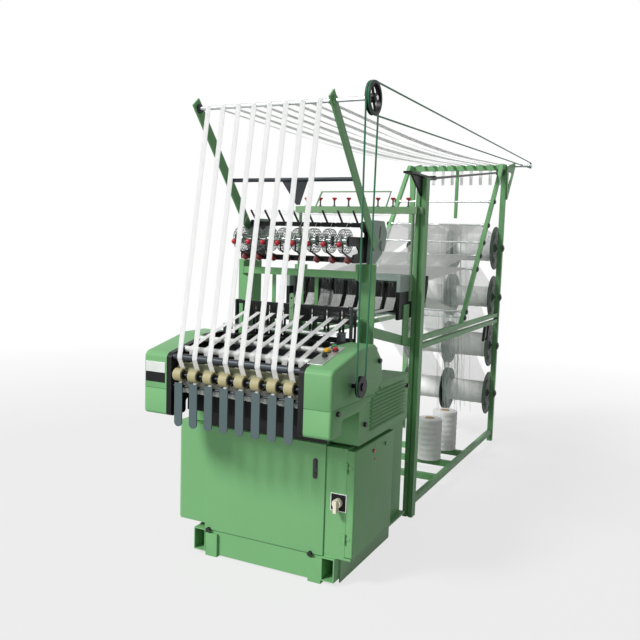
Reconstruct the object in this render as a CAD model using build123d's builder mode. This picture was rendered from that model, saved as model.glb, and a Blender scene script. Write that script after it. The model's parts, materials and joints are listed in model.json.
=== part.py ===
"""Narrow fabric needle loom with eight heads and the warp creel behind it.

Lengths are in millimetres. X runs along the row of heads (positive to the
drive side), Y runs from the operator towards the creel, Z is up. The origin
is on the floor at the middle of the base frame. Every distance called
"back" is measured from the press roller line at the front of the loom.
"""
from math import asin, atan2, cos, degrees, hypot, pi, radians, sin

from build123d import *
import os

os.makedirs("parts", exist_ok=True)

# Layout
head_count = 8
head_pitch = 85.0
base_centre_back = 640.0
running_gap = 0.05
soft_gap = 0.3
sheet = 3.0
head_xs = [(i - (head_count - 1) / 2) * head_pitch for i in range(head_count)]
gap_xs = [(i - head_count / 2) * head_pitch for i in range(1, head_count)]

# Base frame and cabinet
base_half = 412.0
base_height = 138.0
base_front = 300.0
base_rear = 998.0
base_wall_front = 345.0
skirt_lift = 8.0
foot_front = 285.0
foot_width = 70.0
foot_height = 122.0
tube_inner_x = 335.0
tube_width = 71.0
tube_front = 283.0
tube_lift = 20.0
tube_wall = 6.0
shelf_thickness = 12.0
cabinet_half = 348.0
cabinet_top = 690.0
cabinet_rear = 1050.0
panel_thickness = 8.0
panel_bottom = 139.0
side_box_x = 530.0
side_box_bottom = 165.0
side_box_bevel = 25.0
box_side_x = 450.0
box_wall = 4.0
door_thickness = 40.0
door_rear = 805.0
door_gap = 0.5
box_top = 680.0

# Bed, side plates and housings
bed_half = 340.0
bed_front = 250.0
bed_rear = 900.0
bed_low_front = 300.0
bed_shoulder = 950.0
bed_top = 1085.0
side_plate_thickness = 28.0
housing_x = 503.0
housing_front = -10.0
housing_bottom = 795.0
housing_radius = 18.0
belly_z = 862.0
ridge_z = 1162.0
slope_foot = (8.0, 1098.0)
slope_head = (300.0, ridge_z)
cover_x = 485.0
cover_front = 333.0
cover_rear = 1005.0
louvre_count = 11
louvre_pitch = 19.0

# Take-up at the front
roller_z = 1000.0
press_radius = 30.0
press_width = 46.0
axle_radius = 8.0
drum_radius = 35.0
drum_back = 65.6
drum_z = 1012.0
low_roller_radius = 30.0
low_roller_width = 62.0
low_back = 48.0
low_z = 935.0
lever_axle_back = 6.0
lever_axle_z = 944.0
lever_axle_radius = 6.0
lever_bottom = 752.0
lever_width = 44.0
lever_thickness = 6.0
upper_guide_radius = 13.0
lower_guide_radius = 15.0
upper_guide = (225.0, 1146.0)
lower_guide = (106.0, 1106.0)
bend_bar = (12.0, 1080.0)
bend_bar_radius = 15.0
bend_collar = 18.0

# Drive
drive_back = 200.0
drive_z = 1004.0
shaft_radius = 10.0
belt_x = 545.0
second_belt_x = 555.0
low_pulley_radius = 49.0
big_pulley_radius = 73.0
rear_pulley_radius = 24.0
groove_depth = 7.0
belt_width = 7.0
top_back = 209.0
top_z = 2263.0

# Uprights, arms and weft feeders
upright_thickness = 12.0
upright_rear = 778.0
upright_front = 665.0
upright_top = 1537.0
bracket_outer = 357.0
bracket_inner = 341.0
bracket_top = 1762.0
arm_foot = (752.0, 1635.0)
arm_width = 60.0
arm_thickness = 8.0
tube_share = 0.505
wheel_back = 520.0
wheel_z = 1648.0
wheel_radius = 62.0
wheel_width = 40.0
wheel_bars = 10
feeder_plate = 8.0
knob_radius = 14.0
cup_radius = 20.0
cup_length = 26.0

# Weaving unit
needle_bed_height = 40.0
batten_back = 606.0
batten_z = 1114.0
batten_top = 1305.0
batten_width = 76.0
batten_thickness = 10.0
reed_slots = 8
cloth_z = 1272.0
support_rod_back = 700.0
support_rod_radius = 6.0
support_half = 328.0

# Harness
harness_front = 1140.0
harness_rear = 1350.0
harness_x = 345.0
harness_block = 35.0
harness_bottom = 1215.0
harness_top = 1470.0
frame_count = 6
frame_pitch = 24.0
frame_first = 1200.0
frame_thickness = 8.0
frame_rail = 14.0
slot_depth = 6.0
frame_low = 1238.0
frame_high = 1448.0
wires_per_head = 3

# Creel
post_inner = 365.0
post_size = 60.0
near_post_back = 1350.0
near_post_top = 2034.0
left_post_top = 1500.0
far_inner = 375.0
far_size = 40.0
far_back = 3420.0
far_top = 2285.0
rail_inner = 380.0
rail_width = 30.0
mid_rail_top = 1100.0
low_rail_top = 100.0
rail_height = 40.0
cross_backs = (1945.0, 2304.0, 2622.0)
incline_foot = (2345.0, mid_rail_top)
incline_slope = 1.228
rod_radius = 7.0
rod_heights = (2003.0, 1813.0, 1679.0, 1578.0, 1480.0, 1178.0)
roller_back = 3700.0
rear_roller_z = 2347.0
rear_roller_radius = 14.0
beam_zs = (1640.0, 1230.0, 820.0, 410.0)
beam_back = 3440.0
flange_radius = 180.0
flange_thickness = 8.0
flange_outer = 358.0
flange_gap = 12.0
barrel_radius = 40.0
yarn_radii = (110.0, 88.0, 103.0, 96.0)
beam_axle_radius = 10.0
bearing_width = 16.0

# Soft goods
tape_width = 28.0
tape_thickness = 1.0
tape_sag = 60.0
warp_thickness = 1.0


def side_plane(x):
    """Plane across the loom at x: local x is the distance back, local y the height."""
    return Plane(origin=(x, -base_centre_back, 0), x_dir=(0, 1, 0), z_dir=(1, 0, 0))


def block(x_span, back_span, z_span, mode=Mode.ADD):
    """Box given by its limits across, back from the roller line, and up."""
    x_mid = (x_span[0] + x_span[1]) / 2
    y_mid = (back_span[0] + back_span[1]) / 2 - base_centre_back
    z_mid = (z_span[0] + z_span[1]) / 2
    with Locations((x_mid, y_mid, z_mid)):
        Box(
            abs(x_span[1] - x_span[0]),
            abs(back_span[1] - back_span[0]),
            abs(z_span[1] - z_span[0]),
            mode=mode,
        )


def bar(x_span, back, z, radius, mode=Mode.ADD):
    """Round bar along X between two x values."""
    x_mid = (x_span[0] + x_span[1]) / 2
    with Locations(Location((x_mid, back - base_centre_back, z), (0, 90, 0))):
        Cylinder(radius, abs(x_span[1] - x_span[0]), mode=mode)


def post(x, back, z_span, radius, mode=Mode.ADD):
    """Round bar standing upright."""
    with Locations((x, back - base_centre_back, (z_span[0] + z_span[1]) / 2)):
        Cylinder(radius, z_span[1] - z_span[0], mode=mode)


def pin(x, back_span, z, radius, mode=Mode.ADD):
    """Round bar along Y."""
    back_mid = (back_span[0] + back_span[1]) / 2 - base_centre_back
    with Locations(Location((x, back_mid, z), (90, 0, 0))):
        Cylinder(radius, abs(back_span[1] - back_span[0]), mode=mode)


def both_sides(inner, thickness):
    """The two x spans of a mirrored pair of plates."""
    return ((inner, inner + thickness), (-inner - thickness, -inner))


def save(piece, name):
    """Label a finished piece and write it to its own file."""
    piece.part.label = name
    export_step(piece.part, f"parts/{name}.step")


# Base frame: box with fork tubes through both sides, feet and outer skirts
tube_outer_x = tube_inner_x + tube_width
with BuildPart() as base_frame:
    block((-tube_inner_x, tube_inner_x), (base_front, base_wall_front), (skirt_lift, base_height))
    block((-tube_inner_x, tube_inner_x), (base_wall_front, base_rear), (0, base_height))
    block(
        (-tube_inner_x + 8, tube_inner_x - 8),
        (base_front + 8, base_rear - 8),
        (16, base_height - 8),
        mode=Mode.SUBTRACT,
    )
    for span in both_sides(tube_inner_x, tube_width):
        block(span, (tube_front, base_rear), (tube_lift, base_height))
        hollow = (span[0] + tube_wall, span[1] - tube_wall)
        block(
            hollow,
            (tube_front, base_rear),
            (tube_lift + tube_wall, base_height - tube_wall),
            mode=Mode.SUBTRACT,
        )
    for span in both_sides(tube_outer_x, base_half - tube_outer_x):
        block(span, (base_wall_front, base_rear), (0, base_height))
    for span in both_sides(tube_inner_x - foot_width, foot_width):
        block(span, (foot_front, base_front + 30), (0, foot_height))
        block(span, (base_rear - 60, base_rear), (0, foot_height))
    block(
        (tube_inner_x, box_side_x + door_thickness - 8),
        (base_front, cabinet_rear),
        (base_height, base_height + shelf_thickness),
    )
save(base_frame, "base_frame")

# Cabinet: closed sheet box under the bed
with BuildPart() as main_cabinet:
    block((-cabinet_half, tube_inner_x), (base_front, cabinet_rear), (base_height, cabinet_top))
    block(
        (-cabinet_half + sheet, tube_inner_x - sheet),
        (base_front + sheet, cabinet_rear - sheet),
        (base_height + sheet, cabinet_top - sheet),
        mode=Mode.SUBTRACT,
    )
save(main_cabinet, "main_cabinet")

with BuildPart() as front_panel:
    block(
        (-cabinet_half + 1, tube_inner_x + 5),
        (base_front - panel_thickness, base_front),
        (panel_bottom, cabinet_top - 2),
    )
    fillet(front_panel.faces().sort_by(Axis.Y)[0].edges(), 3)
save(front_panel, "front_panel")

# Closed box on the left side, with a bevelled front corner
with BuildPart() as side_box:
    with BuildSketch(Plane.XY.offset(side_box_bottom)):
        with BuildLine():
            Polyline(
                (-cabinet_half, base_front - base_centre_back),
                (-side_box_x + side_box_bevel, base_front - base_centre_back),
                (-side_box_x, base_front + side_box_bevel - base_centre_back),
                (-side_box_x, cabinet_rear - base_centre_back),
                (-cabinet_half, cabinet_rear - base_centre_back),
                close=True,
            )
        make_face()
    extrude(amount=cabinet_top - 2 - side_box_bottom)
save(side_box, "side_box")

# Electric box, open to its door on the drive side, with a mounting plate inside
box_bottom = base_height + shelf_thickness
box_cavity_x = (tube_inner_x + box_wall, box_side_x)
box_cavity_back = (base_front + 12, door_rear - 15)
box_cavity_z = (box_bottom + 15, box_top - 15)
with BuildPart() as electric_box:
    block((tube_inner_x, box_side_x), (base_front, cabinet_rear), (box_bottom, box_top))
    block(box_cavity_x, box_cavity_back, box_cavity_z, mode=Mode.SUBTRACT)
    block(
        (tube_inner_x + box_wall, box_side_x - 60),
        (door_rear + 5, cabinet_rear - box_wall),
        (box_bottom + box_wall, box_top - box_wall),
        mode=Mode.SUBTRACT,
    )
save(electric_box, "electric_box")

# Contactors and drive unit on their mounting plate
plate_x = tube_inner_x + box_wall
with BuildPart() as control_gear:
    block(
        (plate_x, plate_x + 3),
        (box_cavity_back[0] + 20, box_cavity_back[1] - 20),
        (box_cavity_z[0] + 20, box_cavity_z[1] - 20),
    )
    for i in range(4):
        start = box_cavity_back[0] + 60 + i * 62
        block((plate_x + 3, plate_x + 52), (start, start + 45), (500, 580))
    block((plate_x + 3, plate_x + 70), (box_cavity_back[0] + 60, box_cavity_back[0] + 210), (250, 420))
    block((plate_x + 3, plate_x + 30), (box_cavity_back[0] + 240, box_cavity_back[0] + 400), (260, 300))
save(control_gear, "control_gear")

# Door: a shallow tray hinged at its front edge
door_x = (box_side_x + door_gap, box_side_x + door_thickness)
door_back = (base_front, door_rear)
door_z = (box_bottom + 5, box_top - 8)
hinge_back = base_front - 6.0
hinge_zs = (245.0, 590.0)
knuckle_radius = 5.0
hinge_pin_radius = 2.5
knuckle_half = 24.0
with BuildPart() as electric_door:
    block(door_x, door_back, door_z)
    fillet(electric_door.faces().sort_by(Axis.X)[-1].edges(), 8)
    block(
        (door_x[0], door_x[1] - sheet),
        (door_back[0] + sheet, door_back[1] - sheet),
        (door_z[0] + sheet, door_z[1] - sheet),
        mode=Mode.SUBTRACT,
    )
    for z in hinge_zs:
        block((box_side_x + 4, box_side_x + 26), (base_front - 2, base_front), (z - 8, z + 8))
        block((box_side_x, box_side_x + 6), (hinge_back, base_front), (z - 8, z + 8))
        post(box_side_x, hinge_back, (z - 8, z + 8), knuckle_radius)
        post(box_side_x, hinge_back, (z - 8, z + 8), hinge_pin_radius + running_gap, mode=Mode.SUBTRACT)
save(electric_door, "electric_door")

with BuildPart() as door_hinges:
    for z in hinge_zs:
        for end in (-1, 1):
            near = z + end * 8.5
            far = z + end * knuckle_half
            span = (min(near, far), max(near, far))
            post(box_side_x, hinge_back, span, knuckle_radius)
            block((box_side_x - 30, box_side_x), (base_front - 2, base_front), span)
            block((box_side_x - 6, box_side_x), (hinge_back, base_front), span)
        post(box_side_x, hinge_back, (z - knuckle_half, z + knuckle_half), hinge_pin_radius)
save(door_hinges, "door_hinges")

lamp_z = 628.0
with BuildPart() as door_lamps:
    for back in (521.0, 681.0):
        bar((door_x[1], door_x[1] + 8), back, lamp_z, 9)
    bar((door_x[1], door_x[1] + 3), 540.0, 582.0, 5)
save(door_lamps, "door_lamps")

# Rotary mains switch on the front of the electric box
switch_x = 411.0
switch_z = 417.0
switch_plate = 76.0
plate_depth = 4.0
with BuildPart() as rotary_knob:
    pin(switch_x, (base_front - plate_depth - 26, base_front - plate_depth - 0.3), switch_z, 22)
    block(
        (switch_x - 8, switch_x + 8),
        (base_front - plate_depth - 44, base_front - plate_depth - 10),
        (switch_z - 40, switch_z + 20),
    )
save(rotary_knob, "rotary_knob")

# Outline shared by the side plates and the rounded end housings
housing_outline = [
    (housing_front, housing_bottom),
    (108, housing_bottom),
    (108, belly_z),
    (296, belly_z),
    (471, 912),
    (576, 964),
    (562, 1078),
    (472, ridge_z),
    slope_head,
    slope_foot,
    (housing_front, 1080),
]
housing_inner = bed_half + side_plate_thickness
seam_z = 921.0


with BuildPart() as end_housings:
    for span in both_sides(housing_inner, housing_x - housing_inner):
        with BuildSketch(side_plane(span[0])):
            with BuildLine():
                FilletPolyline(*housing_outline, radius=housing_radius, close=True)
            make_face()
        extrude(amount=housing_x - housing_inner)
    faces = end_housings.faces().sort_by(Axis.X)
    fillet(faces[0].edges() + faces[-1].edges(), housing_radius - 3)
    for side in (1, -1):
        block((side * housing_inner, side * housing_x), (housing_front, housing_front + 3),
              (seam_z, seam_z + 3), mode=Mode.SUBTRACT)
        block((side * (housing_x - 3), side * housing_x), (housing_front, 540),
              (seam_z, seam_z + 3), mode=Mode.SUBTRACT)
    bar((housing_inner + 4, housing_x), drive_back, drive_z, shaft_radius + running_gap,
        mode=Mode.SUBTRACT)
save(end_housings, "end_housings")

axle_seats = [
    (0.0, roller_z, axle_radius),
    (low_back, low_z, axle_radius),
    (lever_axle_back, lever_axle_z, lever_axle_radius),
    (*upper_guide, upper_guide_radius),
    (*lower_guide, lower_guide_radius),
    (*bend_bar, bend_bar_radius),
]
seat_depth = 7.0
with BuildPart() as side_plates:
    for span in both_sides(bed_half, side_plate_thickness):
        with BuildSketch(side_plane(span[0])):
            with BuildLine():
                FilletPolyline(*housing_outline, radius=housing_radius, close=True)
            make_face()
        extrude(amount=side_plate_thickness)
    seat_span = (-bed_half - seat_depth, bed_half + seat_depth)
    for back, z, radius in axle_seats:
        bar(seat_span, back, z, radius, mode=Mode.SUBTRACT)
    bar(seat_span, drum_back, drum_z, axle_radius + running_gap, mode=Mode.SUBTRACT)
save(side_plates, "side_plates")

# Fixed axles and guide bars between the side plates
axle_end = bed_half + seat_depth
with BuildPart() as front_axles:
    for back, z, radius in axle_seats:
        bar((-axle_end, axle_end), back, z, radius)
    for x in gap_xs:
        bar((x - 27, x + 27), *bend_bar, bend_collar)
save(front_axles, "front_axles")

with BuildPart() as press_rollers:
    for x in head_xs:
        bar((x - press_width / 2, x + press_width / 2), 0, roller_z, press_radius)
        bar((x - press_width / 2 - 3, x + press_width / 2 + 3), 0, roller_z, press_radius - 8)
        bar((x - head_pitch, x + head_pitch), 0, roller_z, axle_radius + running_gap, mode=Mode.SUBTRACT)
save(press_rollers, "press_rollers")

with BuildPart() as takeup_drum:
    bar((-bed_half + 0.5, bed_half - 0.5), drum_back, drum_z, drum_radius)
    bar((-axle_end + 1, axle_end - 1), drum_back, drum_z, axle_radius)
save(takeup_drum, "takeup_drum")

with BuildPart() as lower_rollers:
    for x in head_xs:
        span = (x - low_roller_width / 2, x + low_roller_width / 2)
        bar(span, low_back, low_z, low_roller_radius)
        bar((span[1] - 14, span[1] - 8), low_back, low_z, low_roller_radius, mode=Mode.SUBTRACT)
        bar((span[1] - 14, span[1] - 8), low_back, low_z, low_roller_radius - 8)
        bar(span, low_back, low_z, axle_radius + running_gap, mode=Mode.SUBTRACT)
save(lower_rollers, "lower_rollers")

# Release levers: flat handles with a round end, hung on their axle
lever_front = -12.0
lever_top = 962.0
hub_radius = 9.0
for i, x in enumerate(head_xs):
    with BuildPart() as lever:
        end_z = lever_bottom + lever_width / 2
        block((x - lever_width / 2, x + lever_width / 2), (lever_front, lever_front + lever_thickness),
              (end_z, lever_top))
        pin(x, (lever_front, lever_front + lever_thickness), end_z, lever_width / 2)
        block((x - 16, x + 16), (lever_front + lever_thickness, lever_axle_back),
              (lever_axle_z - hub_radius, lever_axle_z + hub_radius))
        bar((x - 16, x + 16), lever_axle_back, lever_axle_z, hub_radius)
        bar((x - 20, x + 20), lever_axle_back, lever_axle_z, lever_axle_radius + running_gap,
            mode=Mode.SUBTRACT)
    save(lever, f"release_lever_{i + 1}")

# Drive shaft and its pulley outside the right housing
pulley_half = 9.0


def grooved_disc(x, back, z, radius):
    """Pulley rim with one square belt groove, centred on x."""
    bar((x - pulley_half, x + pulley_half), back, z, radius)
    bar((x - belt_width / 2 - 1, x + belt_width / 2 + 1), back, z, radius, mode=Mode.SUBTRACT)
    bar((x - belt_width / 2 - 1, x + belt_width / 2 + 1), back, z, radius - groove_depth)


with BuildPart() as drive_shaft:
    grooved_disc(belt_x, drive_back, drive_z, low_pulley_radius)
    bar((housing_inner + 6, belt_x + pulley_half + 6), drive_back, drive_z, shaft_radius)
    bar((belt_x + pulley_half, belt_x + pulley_half + 6), drive_back, drive_z, 18)
save(drive_shaft, "drive_shaft")

# Top shaft with its spoked double pulley
big_margin = 6.5
big_span = (belt_x - big_margin, second_belt_x + big_margin)
spoke_inset = 6.0
with BuildPart() as top_shaft:
    bar(big_span, top_back, top_z, big_pulley_radius)
    for x in (belt_x, second_belt_x):
        groove = (x - belt_width / 2 - 1, x + belt_width / 2 + 1)
        bar(groove, top_back, top_z, big_pulley_radius, mode=Mode.SUBTRACT)
        bar(groove, top_back, top_z, big_pulley_radius - groove_depth)
    bar(big_span, top_back, top_z, big_pulley_radius - groove_depth - 6, mode=Mode.SUBTRACT)
    bar(big_span, top_back, top_z, 20)
    with BuildSketch(side_plane(big_span[0] + spoke_inset)):
        with Locations((top_back, top_z)):
            Rectangle(2 * big_pulley_radius - 20, 12, rotation=20)
            Rectangle(2 * big_pulley_radius - 20, 12, rotation=110)
    extrude(amount=big_span[1] - big_span[0] - 2 * spoke_inset)
    bar((-bracket_outer - 20, big_span[1] + 8), top_back, top_z, shaft_radius)
save(top_shaft, "top_shaft")

# Bed casting
with BuildPart() as loom_bed:
    with BuildSketch(side_plane(-bed_half)):
        with BuildLine():
            Polyline(
                (bed_low_front, cabinet_top),
                (bed_rear, cabinet_top),
                (bed_rear, bed_top),
                (bed_front, bed_top),
                (bed_front, bed_shoulder),
                (bed_low_front, bed_shoulder - 50),
                close=True,
            )
        make_face()
    extrude(amount=2 * bed_half)
    block((-bed_half, bed_half), (120, 132), (805, 1070))
    with Locations(*[(x, 141 - base_centre_back, 940) for x in gap_xs]):
        Box(10, 18, 220)
    block((-bed_half, bed_half), (132, bed_low_front), (805, 830))
save(loom_bed, "loom_bed")

# Louvred side covers
cover_outline = [
    (cover_front, cabinet_top),
    (cover_rear, cabinet_top),
    (cover_rear, bed_shoulder),
    (596, bed_shoulder),
    (476, 905),
    (cover_front, 858),
]
louvre_rear = cover_rear - 57
louvre_height = 12.0
louvre_depth = 12.0
louvre_lip = 2.0


def louvre_start(z):
    """Where a louvre begins: clear of the cover's sloping front edge."""
    slope_start = 360 + (z - 858) * (596 - 360) / (bed_shoulder - 858)
    return max(470.0, slope_start + 40)


with BuildPart() as louvre_covers:
    for side in (1, -1):
        with BuildSketch(side_plane(bed_half if side > 0 else -cover_x)):
            with BuildLine():
                FilletPolyline(*cover_outline, radius=10, close=True)
            make_face()
        extrude(amount=cover_x - bed_half)
    for side in (1, -1):
        for i in range(louvre_count):
            z = 928 - i * louvre_pitch
            start = louvre_start(z)
            x_faces = (side * cover_x, side * (cover_x + louvre_depth))
            with BuildSketch(Plane(origin=(0, louvre_rear - base_centre_back, 0), x_dir=(1, 0, 0),
                                   z_dir=(0, -1, 0))):
                with BuildLine():
                    Polyline(
                        (x_faces[0], z + louvre_height),
                        (x_faces[1], z + louvre_lip),
                        (x_faces[1], z),
                        (x_faces[0], z),
                        close=True,
                    )
                make_face()
            extrude(amount=louvre_rear - start)
save(louvre_covers, "louvre_covers")

# Bare plates: name plate space, control plate and switch plate
slope_angle = degrees(atan2(slope_head[1] - slope_foot[1], slope_head[0] - slope_foot[0]))
control_plate_size = (76.0, 236.0)
control_plate_x = 386.0
control_mid_back = 166.0
control_thickness = 4.0


def on_slope(back, lift=0.0):
    """Height of the housings' sloping top at a distance back, plus a lift."""
    rise = (back - slope_foot[0]) * (slope_head[1] - slope_foot[1]) / (slope_head[0] - slope_foot[0])
    return slope_foot[1] + rise + lift


def slope_plane(x, back):
    """Plane lying on the sloping top, local y up the slope."""
    return Plane(
        origin=(x, back - base_centre_back, on_slope(back)),
        x_dir=(1, 0, 0),
        z_dir=(0, -sin(radians(slope_angle)), cos(radians(slope_angle))),
    )


buttons = {
    "button_black": (384.0, 155.0, 12.0),
    "button_yellow": (370.0, 208.0, 15.0),
    "button_red": (400.0, 232.0, 12.0),
    "button_green": (380.0, 262.0, 12.0),
}
collar_height = 4.0
button_height = 12.0
with BuildPart() as face_plates:
    block((-490, -377), (housing_front - 2, housing_front), (952, 1050))
    with BuildSketch(slope_plane(control_plate_x, control_mid_back)):
        Rectangle(*control_plate_size)
    extrude(amount=control_thickness)
    block((switch_x - switch_plate / 2, switch_x + switch_plate / 2),
          (base_front - plate_depth, base_front), (switch_z - 40, switch_z + 40))
save(face_plates, "face_plates")

button_seat = 0.3
button_travel = 3.0
for name, (x, back, radius) in buttons.items():
    with BuildPart() as button:
        with BuildSketch(slope_plane(x, back).offset(control_thickness + button_travel + button_seat)):
            Circle(radius)
        extrude(amount=button_height)
        fillet(button.faces().sort_by(Axis.Z)[-1].edges(), 2)
    save(button, name)

# Black hand knobs and the panel latch
latch_x = 286.0
latch_mid_z = 564.0
latch_length = 100.0
latch_width = 24.0
with BuildPart() as black_knobs:
    for x, back, radius in buttons.values():
        with BuildSketch(slope_plane(x, back).offset(control_thickness)):
            Circle(radius + 3)
            Circle(radius + running_gap, mode=Mode.SUBTRACT)
        extrude(amount=collar_height)
    for x in (-319.0, 273.0):
        pin(x, (base_front - panel_thickness - 14, base_front - panel_thickness), 140, 12)
    panel_face = Plane(origin=(0, base_front - panel_thickness - base_centre_back, 0), x_dir=(1, 0, 0),
                       z_dir=(0, -1, 0))
    with BuildSketch(panel_face):
        with Locations((latch_x, latch_mid_z)):
            SlotOverall(latch_length, latch_width, rotation=90)
    extrude(amount=3)
    with BuildSketch(panel_face):
        with Locations((latch_x, latch_mid_z + 22)):
            SlotOverall(44, 12, rotation=90)
        with Locations((latch_x, latch_mid_z - 26)):
            Circle(8)
    extrude(amount=7)
    for side in (1, -1):
        for back, z, face in ((48.0, 905.0, housing_x), (512.0, 1078.0, housing_x),
                              (400.0, 784.0, cover_x), (977.0, 881.0, cover_x)):
            bar((side * face, side * (face + 14)), back, z, 12)
save(black_knobs, "black_knobs")

# Uprights on the bed, welded to the bridge rail
flange_reach = 65.0
bridge_span = (592.0, 652.0)
bridge_z = (1465.0, 1500.0)
with BuildPart() as loom_uprights:
    for span in both_sides(bed_half - upright_thickness, upright_thickness):
        with BuildSketch(side_plane(span[0])):
            with BuildLine():
                Polyline(
                    (upright_rear, bed_top),
                    (upright_rear, upright_top),
                    (590, upright_top),
                    (590, 1460),
                    (upright_front, 1440),
                    (upright_front, 1262),
                    (640, 1235),
                    (640, bed_top),
                    close=True,
                )
            make_face()
        extrude(amount=upright_thickness)
    inner = support_half
    bar((-inner, inner), support_rod_back, cloth_z - 2 - support_rod_radius, support_rod_radius)
    block((-inner, inner), bridge_span, bridge_z)
    block((-inner, inner), (bridge_span[0] + 4, bridge_span[1]), (bridge_z[0], bridge_z[1] - 4),
          mode=Mode.SUBTRACT)
    for x in (gap_xs[1], gap_xs[3], gap_xs[4]):
        block((x - 10, x + 10), (644, 652), (bed_top, bridge_z[1] - 4))
    for span in both_sides(bed_half, flange_reach):
        block(span, (upright_front, upright_front + upright_thickness), (bed_shoulder, upright_top))
save(loom_uprights, "loom_uprights")

# Cast brackets on the uprights, which carry the arms and the feeder frame
bracket_back = 735.0
hub_back = 820.0
hub_z = 1641.0
with BuildPart() as end_brackets:
    for side in (1, -1):
        x0 = bed_half - upright_thickness if side > 0 else -bracket_outer
        with BuildSketch(side_plane(x0)):
            with BuildLine():
                FilletPolyline(
                    (720, upright_top),
                    (upright_rear, upright_top),
                    (900, 1610),
                    (930, 1700),
                    (885, bracket_top),
                    (745, bracket_top),
                    (bracket_back, 1730),
                    (bracket_back, 1660),
                    radius=10,
                    close=True,
                )
            make_face()
            with Locations((hub_back + 8, hub_z + 60)):
                SlotOverall(70, 18, rotation=80, mode=Mode.SUBTRACT)
        extrude(amount=bracket_outer - bed_half + upright_thickness)
        hub = (bracket_outer, bracket_outer + 10)
        bar((side * hub[0], side * hub[1]), hub_back + 30, hub_z - 10, 26)
save(end_brackets, "end_brackets")

# Inclined arms with the shaft bearings at their tops, the cross tube and its hanger plate
arm_inner = bracket_outer
arm_run = (top_back - arm_foot[0], top_z - arm_foot[1])
arm_length = hypot(*arm_run)
arm_angle = degrees(atan2(arm_run[1], arm_run[0]))
arm_end = 24.0
arm_mid = (
    arm_foot[0] + arm_run[0] / 2 + cos(radians(arm_angle)) * arm_end / 2,
    arm_foot[1] + arm_run[1] / 2 + sin(radians(arm_angle)) * arm_end / 2,
)
tube_back = top_back - arm_run[0] * tube_share
tube_z = top_z - arm_run[1] * tube_share
tube_radius = 10.0
hanger_xs = (-49.0, 103.0)
hanger_tip_z = 1822.0
with BuildPart() as support_arms:
    for span in both_sides(arm_inner, arm_thickness):
        with BuildSketch(side_plane(span[0])):
            with Locations(arm_mid):
                Rectangle(arm_length + arm_end + arm_width / 2, arm_width, rotation=arm_angle)
        extrude(amount=arm_thickness)
        bar((span[0] - 8, span[1] + 8), top_back, top_z, 22)
        bar((span[0] - 8, span[1] + 8), top_back, top_z, shaft_radius + running_gap, mode=Mode.SUBTRACT)
    bar((-arm_inner, arm_inner), tube_back, tube_z, tube_radius)
    with BuildSketch(Plane(origin=(0, tube_back + 2 - base_centre_back, 0), x_dir=(1, 0, 0),
                           z_dir=(0, -1, 0))):
        with BuildLine():
            Polyline((hanger_xs[0], tube_z), (hanger_xs[1], tube_z), (60, hanger_tip_z),
                     (40, hanger_tip_z), close=True)
        make_face()
    extrude(amount=4)
save(support_arms, "support_arms")

# Feeder frame: black end plates, segmented top bar with levers, tension bar with knob arms
feeder_front = 498.0
feeder_bar_back = 677.0
feeder_bar_z = 1732.0
tension_back = 580.0
tension_z = 1557.0
feeder_inner = bed_half - upright_thickness - feeder_plate
knob_back = 426.0
knob_z = 1632.0
with BuildPart() as feeder_frame:
    for span in both_sides(feeder_inner, feeder_plate):
        with BuildSketch(side_plane(span[0])):
            with BuildLine():
                FilletPolyline(
                    (560, upright_top + 4),
                    (800, upright_top + 4),
                    (800, 1745),
                    (655, 1752),
                    (645, 1715),
                    (700, 1692),
                    (700, 1672),
                    (feeder_front, 1672),
                    (feeder_front, 1624),
                    (600, 1624),
                    (640, 1592),
                    (560, 1582),
                    radius=8,
                    close=True,
                )
            make_face()
        extrude(amount=feeder_plate)
    block((-feeder_inner, feeder_inner), (feeder_bar_back - 14, feeder_bar_back + 14),
          (feeder_bar_z - 9, feeder_bar_z + 9))
    block((-feeder_inner, feeder_inner), (tension_back - 16, tension_back + 16),
          (tension_z - 14, tension_z + 14))
    for x in head_xs:
        block((x - 32, x + 32), (feeder_bar_back - 18, feeder_bar_back + 16),
              (feeder_bar_z - 11, feeder_bar_z + 12))
        with BuildSketch(side_plane(x - 4)):
            with Locations(((feeder_bar_back + 605) / 2, (feeder_bar_z + 1800) / 2)):
                Rectangle(100, 7, rotation=degrees(atan2(1800 - feeder_bar_z, 605 - feeder_bar_back)))
        extrude(amount=8)
        with BuildSketch(side_plane(x + 26)):
            with BuildLine():
                Polyline(
                    (tension_back - 10, tension_z - 12),
                    (knob_back, knob_z - 38),
                    (knob_back, knob_z + 6),
                    (knob_back + 7, knob_z + 6),
                    (knob_back + 7, knob_z - 32),
                    (tension_back - 10, tension_z - 4),
                    close=True,
                )
            make_face()
        extrude(amount=5)
    bar((-feeder_inner, feeder_inner), wheel_back, wheel_z, 6 + running_gap, mode=Mode.SUBTRACT)
    bar((-feeder_inner - 5, feeder_inner + 5), wheel_back, wheel_z, 6 + running_gap, mode=Mode.SUBTRACT)
save(feeder_frame, "feeder_frame")

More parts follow.
